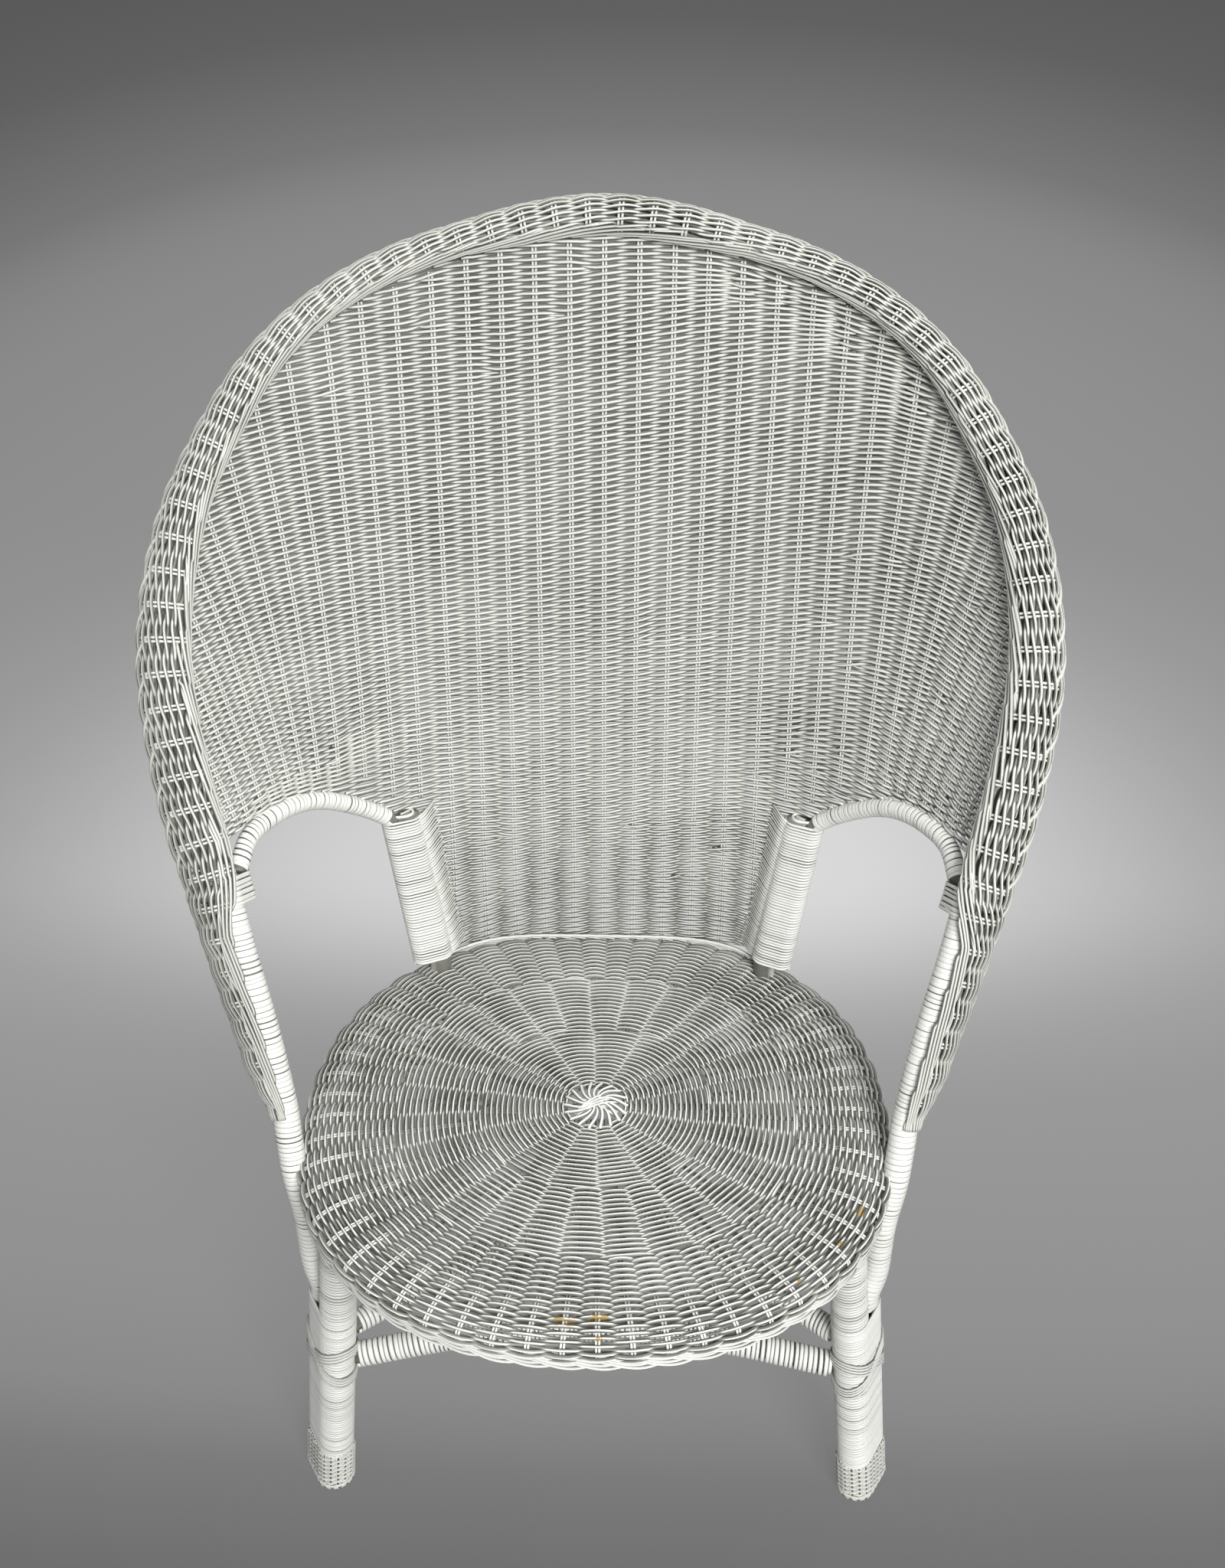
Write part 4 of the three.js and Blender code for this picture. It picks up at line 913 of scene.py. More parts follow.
@dataclass
class RolledBorder(Maker):
    """The thick rolled border round the hoop, woven over ribs and scalloped along its rim."""

    strand_count: int = 36
    rib_pitch: float = 28.5
    wave: float = 2.1
    twist: float = 1.35
    foot_z: float = 449.0
    base: Pair = (13.6, 16.9)
    crown: float = 3.5
    # How far round the rear it reaches, in degrees, against height
    rear_reach: Table = ((600, -92), (680, -150))
    # How far round the front it reaches, in degrees, against height: free of the arms, then
    # closing on the panel
    front_reach: Table = (
        (448, 105), (560, 92), (610, 92), (680, 150), (900, 156), (1130, 163))
    edge_band: int = 5
    edge_ribs: float = 5.5
    smooth_strands: int = 4
    reeds: Pair = (2.8, 3.5)
    rib_reed: float = 2.6
    rib_shift: float = 0.55
    scallop_reed: float = 3.4
    scallop_reeds: int = 5
    # A scallop's turns from its start to its end, and the depth it starts at and rises from there
    scallop_turns: Pair = (0.46, -0.56)
    scallop_lift: Pair = (-3.2, 5.4)
    end_taper: float = 0.78
    rear_sink: float = 1.8
    per_rib: int = 8

    def build(self, seed: int = 5) -> None:
        """Weaves the border and its scallops.

        Args:
            seed: Seed of the strands' unevenness.
        """
        self.rng = np.random.default_rng(seed)
        s = self.shape
        start = s.hoop.share_at_height(self.foot_z)
        length = (1 - 2 * start) * s.hoop.length
        self.ribs = int(length / self.rib_pitch)
        self.shares = np.linspace(start, 1 - start, self.ribs * self.per_rib + 1)
        self.rib_at = np.linspace(0, self.ribs, len(self.shares))
        self.frames = s.border_frame(self.shares)
        self.front = np.radians(read_table(self.front_reach, self.frames["point"][:, 2]))
        self.rear = np.radians(read_table(self.rear_reach, self.frames["point"][:, 2]))
        self.turns = self.even_turns()
        body, edge = StrandMesh(s), StrandMesh(s)
        for j in range(self.strand_count):
            self.long_strand(body, j)
        for k in range(self.ribs + 1):
            self.rib(body, k)
        for k in range(-1, self.ribs):
            self.scallop(edge, k)
        nodes = ("back_border", "arm_border_right", "arm_border_left")
        self.place(body, "border_weave", "weave", *nodes)
        self.place(edge, "border_scallops", "weave", *nodes)

    def radius(self, turn: Array, reach: Array) -> Array:
        """Distance of the border's skin from the rod's middle.

        Args:
            turn: Angle from straight out, positive to the front.
            reach: The border's reach straight out.
        """
        bulge = np.where(np.abs(turn) < math.pi / 2, np.cos(turn) ** 2, 0)
        base = np.clip(reach - self.crown, *self.base)
        return base + np.maximum(reach - self.crown - base, 0) * bulge - self.rear_sink * (
            np.abs(turn) > math.radians(120))

    def skin(self, index: Array, turn: Array, lift: Array | float) -> tuple[Array, Array]:
        """Points on the border's skin and the way it faces there.

        Args:
            index: Places along the hoop, as positions in the frames.
            turn: Angles round the rod.
            lift: Height above the skin.
        """
        places = np.arange(len(self.shares))
        point, out, rear = (read_columns(index, places, self.frames[key])
                            for key in ("point", "out", "rear"))
        way = out * np.cos(turn)[:, None] - rear * np.sin(turn)[:, None]
        last = len(self.shares) - 1
        close = 1.5 * self.per_rib
        taper = np.interp(index, (0, close, last - close, last),
                          (self.end_taper, 1, 1, self.end_taper))
        r = self.radius(turn, np.interp(index, places, self.frames["reach"])) * taper + lift
        return point + way * r[:, None], way

    def even_turns(self) -> Array:
        """Angles that space the long strands evenly round the skin, for each frame."""
        turns = []
        for reach, front, rear in zip(self.frames["reach"], self.front, self.rear):
            grid = np.linspace(rear, front, 161)
            r = self.radius(grid, np.full(len(grid), reach))
            run = run_along(np.stack([r * np.cos(grid), r * np.sin(grid)], -1))
            at = (np.arange(self.strand_count) + 0.5) / self.strand_count
            turns.append([*np.interp(at, run / run[-1], grid), run[-1] / self.strand_count])
        return np.array(turns)

    def long_strand(self, strands: StrandMesh, j: int) -> None:
        """One strand along the whole border, twined with its neighbour round the ribs."""
        index = np.arange(len(self.shares), dtype=float)
        pair = 2 * (j // 2)
        width = self.turns[:, -1]
        middle = (self.turns[:, pair] + self.turns[:, pair + 1]) / 2
        swing = math.pi * (self.rib_at + (j % 2))
        reach = self.radius(middle, self.frames["reach"])
        if j >= self.strand_count - self.edge_band:
            phase = (self.rib_at / self.edge_ribs + j / self.edge_band) % 1
            inwards = np.interp(phase, (0, 0.84, 1), (self.edge_band, 0, self.edge_band))
            turn = self.front - (inwards + 0.3) * width / reach
            lift = np.interp(phase, (0, 0.1, 0.72, 0.84, 0.92, 1),
                             (-0.5, 1.7, 1.2, 0.2, -2.2, -0.5))
            width = width * 1.12
        elif j < self.smooth_strands:
            swing = swing / 5 + 0.9 * pair
            turn = self.turns[:, j] + 0.5 * width / reach * np.sin(swing)
            lift = 0.5 + 0.9 * np.cos(swing)
            width = width * 1.1
        else:
            turn = middle + self.twist * np.sin(swing) / reach
            lift = self.wave * np.cos(swing)
        points, up = self.skin(index, turn, lift)
        # The lift sets the layer: painted shade where the strand dips under a rib, and on its
        # sides.
        strands.strand(points, up, np.clip(width * 0.98, *self.reeds),
                       tone=float(self.rng.uniform(0, 1)), layer=lift / 2, side_shade=1.5)

    def rib(self, strands: StrandMesh, k: int) -> None:
        """One pair of ribs round the border."""
        frame = min(k * self.per_rib, len(self.front) - 1)
        turn = np.linspace(self.rear[frame], self.front[frame] - 0.3, 30)
        for shift in (-self.rib_shift, self.rib_shift):
            index = np.full(len(turn), k * self.per_rib + shift * self.per_rib / self.rib_pitch * 3)
            index = np.clip(index, 0, len(self.shares) - 1)
            points, up = self.skin(index, turn, 0.0)
            strands.strand(points, up, self.rib_reed, tone=float(self.rng.uniform(0.5, 1)))

    def scallop(self, strands: StrandMesh, k: int) -> None:
        """A bundle of reeds that rises over the border's rim and dives behind it."""
        t = np.linspace(0, 1, 15)
        (first, final), (low, rise) = self.scallop_turns, self.scallop_lift
        for i in range(self.scallop_reeds):
            index = (k - 0.2 + 1.85 * t) * self.per_rib + i * 0.4
            keep = (index >= 0) & (index <= len(self.shares) - 1)
            if keep.sum() < 4:
                continue
            reach = float(np.interp(index[keep][0], np.arange(len(self.shares)),
                                    self.frames["reach"]))
            step = 3.1 / reach
            start, stop = first - step * i, final - step * i
            turn = start + (stop - start) * t
            lift = low + rise * np.sin(math.pi * t) ** 0.8
            points, up = self.skin(index[keep], turn[keep], lift[keep])
            # Painted shade where the scallop dips behind the rim.
            strands.strand(points, up, self.scallop_reed, tone=float(self.rng.uniform(0.2, 1)),
                           layer=np.clip(0.5 + lift[keep] / 3, -1, 1))


@dataclass
class Winding(Maker):
    """Reeds and flat canes wound round the rods."""

    slit_share: float = 0.14
    per_loop: int = 28

    def unevenness(self, turns: int, per_turn: int, uneven: float,
                   rng: Rng) -> tuple[Array, Array, Array]:
        """How a winding varies along its turns.

        Args:
            turns: Its turns.
            per_turn: Points in one turn.
            uneven: How much its width varies.
            rng: Source of the variation.

        Returns:
            Its width, the share of it that the reed fills, and the painted shade in its seams.
        """
        # Open turns leave slits whose seams take extra painted shade.
        open_turn = rng.uniform(size=turns + 1) < self.slit_share
        rows = (1 + rng.uniform(-uneven, uneven, turns + 1), np.where(open_turn, 0.84, 0.985),
                np.where(open_turn, 1.8, rng.uniform(0.6, 1.2, turns + 1)))
        soft = np.ones(per_turn) / per_turn
        n = turns * per_turn + 1
        return tuple(np.convolve(np.pad(np.repeat(row, per_turn), per_turn, "edge"), soft,
                                 "same")[per_turn: per_turn + n] for row in rows)

    def around(self, strands: StrandMesh, line: SmoothLine, start: float, end: float,
               radius: float, width: float, height: float, rng: Rng,
               per_turn: int = 16, square: float = 1.0, uneven: float = 0.12,
               mirror: Side = Side.RIGHT, gap: float = 0.15) -> None:
        """Winds one strand round a rod.

        Args:
            strands: Where the strand goes.
            line: The rod's middle.
            start: Share of the line where the winding starts.
            end: Share where it ends.
            radius: The rod's radius.
            width: The strand's size along the rod.
            height: Its thickness.
            rng: Source of its unevenness.
            per_turn: Points in one turn.
            square: 1 for a round reed, less for a flat cane.
            uneven: How much its width varies.
            mirror: The half that it is wound on.
            gap: Room between two turns.
        """
        turns = max(int(abs(end - start) * line.length / (width + gap)), 1)
        wide, filled, side_shade = self.unevenness(turns, per_turn, uneven, rng)
        run = np.cumsum(wide)
        share = start + (end - start) * (run - run[0]) / (run[-1] - run[0])
        point, tangent = line.at(share), line.along(share)
        u, v = carried_frame(tangent)
        angle = 2 * math.pi * np.arange(turns * per_turn + 1) / per_turn
        way = u * np.cos(angle)[:, None] + v * np.sin(angle)[:, None]
        path = point + way * (radius + height / 2)
        strands.strand(path * mirror.flip, way * mirror.flip, width * wide * filled, height,
                       tone=rng.uniform(0, 1), square=square, side_shade=side_shade)

    def pair_outline(self, centres: Array, radii: Array, count: int) -> tuple[Array, Array]:
        """Line of a thread pulled tight round two rods.

        Args:
            centres: The two middles, in the plane across the rods.
            radii: The two radii.
            count: Points round the line.

        Returns:
            The points and their outward directions.
        """
        angle = np.linspace(0, 2 * math.pi, 721)[:-1]
        way = np.stack([np.cos(angle), np.sin(angle)], -1)
        best = np.argmax(way @ centres.T + radii, axis=1)
        points = centres[best] + way * radii[best][:, None]
        closed, ways = np.vstack([points, points[:1]]), np.vstack([way, way[:1]])
        run = run_along(closed)
        at = np.arange(count) / count * run[-1]
        return read_columns(at, run, closed), unit(read_columns(at, run, ways))

    def around_pair(self, strands: StrandMesh, low: Array, high: Array, offset: Array,
                    radii: Pair, width: float, height: float,
                    rng: Rng, mirror: Side, square: float = 1.0,
                    uneven: float = 0.15, tilt: float = 0.0, dome: float = 0.0,
                    level: float = 0.0, grime: float = 1.0) -> None:
        """Winds one strand round two rods that run side by side.

        Args:
            strands: Where the strand goes.
            low: Lower end of the first rod's middle.
            high: Its upper end.
            offset: From the first rod's middle to the second's.
            radii: The two radii.
            width: The strand's size along the rods.
            height: Its thickness.
            rng: Source of its unevenness.
            mirror: The half that it is wound on.
            square: 1 for a round reed, less for a flat cane.
            uneven: How much its width varies.
            tilt: How far the turns drop towards the second rod.
            dome: Length at the upper end over which the turns close in.
            level: How far the turns lie level, from 0, square to the rods, to 1.
            grime: Painted shade in its seams, as a share of a usual winding's.
        """
        axis = unit(high - low)
        length = float(np.linalg.norm(high - low))
        u = unit(offset - axis * offset.dot(axis))
        v = np.cross(axis, u)
        centres = np.array([[0.0, 0.0], [float(offset.dot(u)), 0.0]])
        count = self.per_loop
        outline, ways = self.pair_outline(centres, np.array(radii) + height / 2, count)
        turns = max(int(length / width), 1)
        wide, filled, side_shade = self.unevenness(turns, count, uneven, rng)
        run = np.cumsum(wide)
        rise = (run - run[0]) / (run[-1] - run[0]) * length
        k = np.arange(turns * count + 1) % count
        p, w = outline[k], ways[k]
        if dome:
            closing = np.clip((rise - length + dome) / dome, 0, 1)
            middle = centres.mean(0)
            p = middle + (p - middle) * np.sqrt(1 - 0.93 * closing**2)[:, None]
            side_shade = side_shade * (1 - 0.9 * closing)
        rise = rise - tilt * (p[:, 0] / centres[1, 0] - 0.5)
        rise = rise - level * (u[2] * p[:, 0] + v[2] * p[:, 1]) / axis[2]
        path = low + u * p[:, :1] + v * p[:, 1:] + axis * rise[:, None]
        up = u * w[:, :1] + v * w[:, 1:]
        strands.strand(path * mirror.flip, up * mirror.flip, width * wide * filled, height,
                       tone=float(rng.uniform(0.3, 0.8)), square=square, side_shade=side_shade * grime)

    def sock(self, side: Side, low: Array, high: Array, offset: Array, radii: Array,
             rng: Rng, end: str) -> None:
        """Weaves the sock of one foot: uprights, rows round them, and arched reeds round its base.

        Args:
            side: Its half.
            low: The leg's middle on the floor.
            high: The leg's middle above the sock.
            offset: From the leg's middle to the second rod's.
            radii: Radii of the two rods.
            rng: Source of its unevenness.
            end: front or rear.
        """
        strands = StrandMesh(self.shape)
        axis = unit(high - low)
        slope = (high - low)[:2] / (high - low)[2]
        flat = float(np.linalg.norm(offset))
        u = unit(offset) if flat > 0 else np.array([1.0, 0.0, 0.0])
        v = np.array([-u[1], u[0], 0.0])
        centres = np.array([[0.0, 0.0], [flat, 0.0]])
        count = 20

        def put(k: Array, grow: Array | float, z: Array) -> tuple[Array, Array]:
            """Points round the sock at a height."""
            line, ways = self.pair_outline(centres, radii + 1.8, count * 4)
            i = np.round(k * 4).astype(int) % (count * 4)
            p = line[i] + ways[i] * np.broadcast_to(grow, (len(i),))[:, None]
            base = np.stack([low[0] + slope[0] * z, low[1] + slope[1] * z, z], -1)
            up = u * ways[i][:, :1] + v * ways[i][:, 1:]
            return (base + u * p[:, :1] + v * p[:, 1:]) * side.flip, up * side.flip

        for row, z in enumerate(np.arange(4.0, 53.0, 3.4)):
            k = np.arange(count * 4) / 4
            wave = np.cos(math.pi * (k + row))
            points, up = put(k, wave * 1.1 - (0.9 if row == 0 else 0), z + 0.6 * np.sin(k))
            # The rows' wave sets their layer: painted shade where they pass behind an upright.
            strands.strand(points, up, 3.3, closed=True, tone=float(rng.uniform(0.1, 1)),
                           layer=wave)
        for k in range(count):
            for shift in (-0.25, 0.25):
                z = np.linspace(3.0, 54.0, 12)
                points, up = put(np.full(12, k + shift), 0.1, z)
                strands.strand(points, up, 2.2, tone=float(rng.uniform(0.3, 1)))
        t = np.linspace(0, 1, 9)
        for k in range(count):
            start = k + 2.6 * t
            z = 2.0 + 5.5 * np.sin(math.pi * t)
            points, up = put(start, 1.3, z)
            strands.strand(points, up, 2.9, tone=float(rng.uniform(0.2, 1)))
        self.place(strands, f"{end}_foot_weave_{side.word}", "sock", f"{end}_foot_sock_{side.word}")


def carried_frame(tangent: Array) -> tuple[Array, Array]:
    """Two directions across a line that turn with it as little as they can.

    Args:
        tangent: The line's directions.

    Returns:
        The two directions at each point.
    """
    first = np.cross(tangent[0], UP if abs(tangent[0][2]) < 0.9 else [0.0, 1.0, 0.0])
    u = [unit(first)]
    for t in tangent[1:]:
        u.append(unit(u[-1] - t * u[-1].dot(t)))
    u = np.array(u)
    return u, np.cross(tangent, u)


@dataclass
class Poles(Winding):
    """The bare rods that carry the weave: hoop, legs, arches, seat ring and bars."""

    def tube(self, line: SmoothLine, radius: float, steps: int, sides: int = 14,
             mirror: Side = Side.RIGHT) -> StrandMesh:
        """A rod with slight swellings like those of cane.

        Args:
            line: Its middle.
            radius: Its radius.
            steps: Lengths it is made of.
            sides: Corners round it.
            mirror: The half it is in.
        """
        strands = StrandMesh(self.shape, sides)
        share = np.linspace(0, 1, steps + 1)
        path, tangent = line.at(share), line.along(share)
        u, _ = carried_frame(tangent)
        swell = 1 + 0.012 * np.sin(share * line.length / 23.0)
        # The rod's low layer lays painted shade over most of it.
        strands.strand(path * mirror.flip, u * mirror.flip, 2 * radius * swell * 0.99, tone=0.4,
                       layer=-0.6)
        return strands

    def build(self) -> None:
        """Makes the rods."""
        s = self.shape
        self.place(self.tube(s.hoop, s.hoop_radius, 240), "hoop_core", "pole", "hoop_rod")
        for side in Side:
            leg = SmoothLine(s.leg(np.array([3.5, 130.0, 260.0, s.leg_top_z])))
            for line, radius, steps, sides, name, node in (
                    (leg, s.leg_radius, 30, 16, "front_leg_core", "front_leg_pole"),
                    (s.rear_leg, s.rear_radius, 60, 14, "rear_leg_core", "rear_leg_pole"),
                    (s.arch, s.arch_radius, 60, 12, "arch_core", "arm_arch_rod")):
                self.place(self.tube(line, radius, steps, sides, side), f"{name}_{side.word}",
                           "pole", f"{node}_{side.word}")
        self.seat_rods()

    def seat_rods(self) -> None:
        """The ring under the seat, its bars, and the reed that binds them."""
        s = self.shape
        rng = np.random.default_rng(3)
        angle = np.linspace(0, 2 * math.pi, 145)[:-1]
        ring = polar(s.ring_share * s.rim(angle), angle, s.ring_z)
        strands = StrandMesh(s, 14)
        # Light painted shade on the ring's and bars' sides.
        strands.strand(ring, UP, 22.0, tone=0.4, closed=True, side_shade=0.3)
        self.place(strands, "seat_ring_core", "pole", "seat_ring")
        for name, y in (("front", -85.0), ("rear", 85.0)):
            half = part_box(f"seat_bar_{name}")[1].x / MM
            x = np.linspace(-half, half, 21)
            path = np.stack([x, y + 0 * x, s.ring_z + 0 * x], -1)
            bar = StrandMesh(s, 12)
            bar.strand(path, UP, 16 * (1 + 0.02 * np.sin(x / 9)), tone=0.4, side_shade=0.3)
            for way in (-1, 1):
                self.around(bar, SmoothLine(path[::way][:4]), 0.02, 0.6, 8.0, 3.6, 2.4, rng, 12)
            self.place(bar, f"seat_bar_{name}_cane", "pole", f"seat_bar_{name}")


@dataclass
class WovenSeat(Maker):
    """The round seat: arms from a knot, plain rows, and a scalloped rim."""

    # Reach of each zone from the knot, its arms, the turn of one of them in degrees, points of a
    # row between two arms, row pitch, reed and depth of its wave
    zones: tuple[tuple[str, float, int, float, int, float, float, float], ...] = (
        ("inner", 104.0, 14, -100.0, 12, 2.5, 2.35, 2.2),
        ("middle", 181.0, 28, -92.3, 8, 2.75, 2.6, 2.6),
        ("outer", 400.0, 56, -94.2, 5, 3.0, 2.8, 2.9))
    knot_share: float = 0.095
    middle_radius: float = 266.0
    side_low: float = 396.0
    edge_reed: float = 3.3
    knot_reed: float = 2.9

    def build(self, seed: int = 23) -> None:
        """Weaves the seat.

        Args:
            seed: Seed of the strands' unevenness.
        """
        self.rng = np.random.default_rng(seed)
        self.lay_profile(self.middle_radius)
        arms = StrandMesh(self.shape)
        start = 1.5
        for name, reach, count, turn, per_arm, pitch, reed, wave in self.zones:
            end = min(reach - self.knot_share * self.middle_radius, self.run[-1])
            rows = StrandMesh(self.shape)
            first = math.radians(turn)
            for i, at in enumerate(np.arange(start, end, pitch)):
                self.row(rows, at, count, first, i, per_arm, reed, wave)
            self.place(rows, f"seat_rows_{name}", "seat", "seat_weave")
            for k in range(count):
                self.arm(arms, first + 2 * math.pi * k / count, start - 1.5, end,
                         4 if name == "inner" else 2, 0.85 * reed)
            start = end
        self.place(arms, "seat_arms", "seat", "seat_weave")
        self.rim_edge()
        self.knot()

    def lay_profile(self, radius: float) -> None:
        """Lays out the seat's profile from the knot's edge over the rim.

        Args:
            radius: The seat's middle radius, for lengths along the profile.
        """
        s = self.shape
        share = np.linspace(self.knot_share, 1, 300)
        z = s.seat_top - s.seat_depth * read_table(s.top_shares, share) - 1.4
        down = np.linspace(0, 1, 24)[1:]
        self.extra = np.concatenate([-2.0 * np.clip((share - 0.9) / 0.1, 0, 1), -2 - 0.5 * down])
        self.share = np.concatenate([share, np.ones(23)])
        self.z = np.concatenate([z, z[-1] + (self.side_low - z[-1]) * down])
        reach = self.share * radius + self.extra
        steps = np.hypot(np.diff(reach), np.diff(self.z))
        self.run = np.concatenate([[0], np.cumsum(steps)])
        soft = np.ones(15) / 15
        self.nr, self.nz = (np.convolve(np.pad(v, 7, "edge"), soft, "valid") for v in (
            np.gradient(-self.z, self.run), np.gradient(reach, self.run)))

    def at(self, run: Array | float, angle: Array) -> tuple[Array, Array]:
        """Points on the seat and its upward directions.

        Args:
            run: Distance from the knot's edge over the seat's profile.
            angle: Direction from the knot.
        """
        share, extra, z, nr, nz = (np.interp(run, self.run, a) for a in (
            self.share, self.extra, self.z, self.nr, self.nz))
        return polar(share * self.shape.rim(angle) + extra, angle, z), unit(polar(nr, angle, nz))

    def row(self, strands: StrandMesh, at: float, arms: int, first: float, parity: int,
            per_arm: int, reed: float, wave: float) -> None:
        """One ring of the weave.

        Args:
            strands: Where it goes.
            at: Its distance from the knot's edge.
            arms: The arms that it crosses.
            first: Turn of the first arm.
            parity: Whether it starts over or under.
            per_arm: Points from one arm to the next.
            reed: Its thickness.
            wave: How far it rises and dips.
        """
        step = np.arange(arms * per_arm) / per_arm
        angle = first + 2 * math.pi * step / arms
        phase = np.cos(math.pi * (step + parity))
        phase = np.sign(phase) * np.abs(phase) ** 0.62
        wobble = 0.25 * np.sin(3 * angle + at) + self.rng.normal(0, 0.05, len(angle))
        point, up = self.at(at + wobble, angle)
        path = point + up * (phase * wave - 1.2)[:, None]
        reed = reed * self.rng.uniform(0.95, 1.05)
        # Seat rows take heavy painted shade on their sides and where they dip under an arm.
        strands.strand(path, up, 0.97 * reed, 1.4 * reed, closed=True,
                       tone=float(self.rng.uniform(0, 1)), layer=phase, side_shade=1.9)

    def arm(self, strands: StrandMesh, angle: float, start: float, end: float, reeds: int,
            reed: float) -> None:
        """One arm of reeds side by side, brighter where the rim turns to the light.

        Args:
            strands: Where it goes.
            angle: Its turn.
            start: Where it starts, from the knot's edge.
            end: Where it ends.
            reeds: Reeds in it.
            reed: Their thickness.
        """
        run = np.linspace(start, end, 16)
        point, up = self.at(run, np.full(16, angle))
        across = np.array([-math.sin(angle), math.cos(angle), 0])
        # The layer values lay painted shade on the arms inside, less where the rim turns to the
        # light.
        drop, layer = (np.interp(run, (0, 185, 215), depths)
                       for depths in ((2.3, 2.0, 1.2), (-0.85, -0.8, 0.6)))
        for i in range(reeds):
            shift = (i - (reeds - 1) / 2) * (reed + 0.2)
            strands.strand(point + across * shift - up * drop[:, None], up, reed,
                           tone=float(self.rng.uniform(0.4, 1)), layer=layer)

    def rim_edge(self) -> None:
        """The scalloped edge: bundles that roll outwards under the rim."""
        s = self.shape
        strands = StrandMesh(s)
        count = self.zones[-1][2]
        t = np.linspace(0, 1, 13)
        for k in range(count):
            for i in range(3):
                angle = 2 * math.pi * (k + 1.9 * t + 0.12 * i) / count
                r = s.rim(angle) - 7.5 + 5.2 * np.sin(math.pi * t) ** 0.8 + 0.8 * i
                z = 401.5 - 3.3 * i - 7.0 * t + 1.2 * np.sin(2 * math.pi * t)
                strands.strand(polar(r, angle, z), polar(1.0, angle, -0.2), self.edge_reed,
                               tone=float(self.rng.uniform(0.1, 1)))
        self.place(strands, "seat_edge", "seat", "seat_border")

    def knot(self) -> None:
        """The crossed start of the arms in the seat's middle."""
        s = self.shape
        strands = StrandMesh(s, 8)
        count = 18
        t = np.linspace(0, 1, 14)
        for i in range(count):
            angle = 2 * math.pi * i / count
            z = s.seat_top - 2.6 + 6.2 * np.sin(math.pi * (0.1 + 0.5 * t)) - 2.2 * (i % 2) * t
            path = polar(29.5 * (1 - t) + 2.5 * t, angle + 0.95 * t**1.4, z)
            path[:, 0] += 3.0 * t * np.sign(np.sin(angle))
            # The knot's strands take extra painted shade on their sides.
            strands.strand(path, UP, 3.5 - 0.9 * t, tone=float(self.rng.uniform(0.2, 1)),
                           side_shade=1.3)
        for way, across, rise in ((24, -1.5, 4.3), (29, -0.5, 4.3), (34, 0.5, 4.3),
                                  (39, 1.5, 4.3), (-22, -1, 2.6), (-17, 0, 2.6), (-12, 1, 2.6)):
            x = np.linspace(-21, 21, 16)
            turn = math.radians(way)
            side = across * self.knot_reed + 0.02 * x
            z = s.seat_top + rise - 0.014 * x**2
            path = np.stack([x * math.cos(turn) - side * math.sin(turn),
                             x * math.sin(turn) + side * math.cos(turn), z], -1)
            strands.strand(path, UP, self.knot_reed, tone=float(self.rng.uniform(0.4, 1)),
                           side_shade=1.3)
        self.place(strands, "seat_knot_strands", "seat", "seat_knot")


@dataclass
class FrontLegs(Winding):
    """The two front legs: reeds round the leg and the hoop's rod, and a woven sock."""

    def build(self, seed: int = 31) -> None:
        """Winds both front legs.

        Args:
            seed: Seed of the strands' unevenness.
        """
        s = self.shape
        for side in Side:
            rng = np.random.default_rng(seed + side.value)
            w = side.word
            strands = StrandMesh(s, 8)
            self.around_pair(strands, s.leg(52.0), s.leg(262.0), s.pair_offset,
                             (s.leg_radius, s.hoop_radius), 3.5, 2.6, rng, side, 1.0, 0.22)
            upper = SmoothLine(s.leg(np.array([258.0, 300.0, 350.0, 391.0])))
            self.around(strands, upper, 0, 1, s.leg_radius, 3.6, 2.4, rng, 20, 1.0, 0.2, side)
            # The crossed lashings take extra painted shade in their seams.
            for tilt in (-17.0, 17.0):
                self.around_pair(strands, s.leg(186.0), s.leg(202.0), s.pair_offset,
                                 (s.leg_radius + 2.6, s.hoop_radius + 2.6), 3.6, 2.2, rng, side,
                                 0.8, 0.2, tilt, grime=1.7)
            self.place(strands, f"front_leg_reeds_{w}", "cane", f"front_leg_wrap_{w}")
            self.sock(side, s.leg(0.0), s.leg(60.0), s.pair_offset,
                      np.array([s.leg_radius, s.hoop_radius]), rng, "front")
            arm = StrandMesh(s, 8)
            low, high = s.hoop.share_at_height(262), s.hoop.share_at_height(664)
            self.around(arm, s.hoop, low, high, s.hoop_radius, 4.6, 1.2, rng, 18, 0.35, 0.35, side,
                        0.05)
            self.place(arm, f"arm_strips_{w}", "cane", f"arm_post_wrap_{w}")


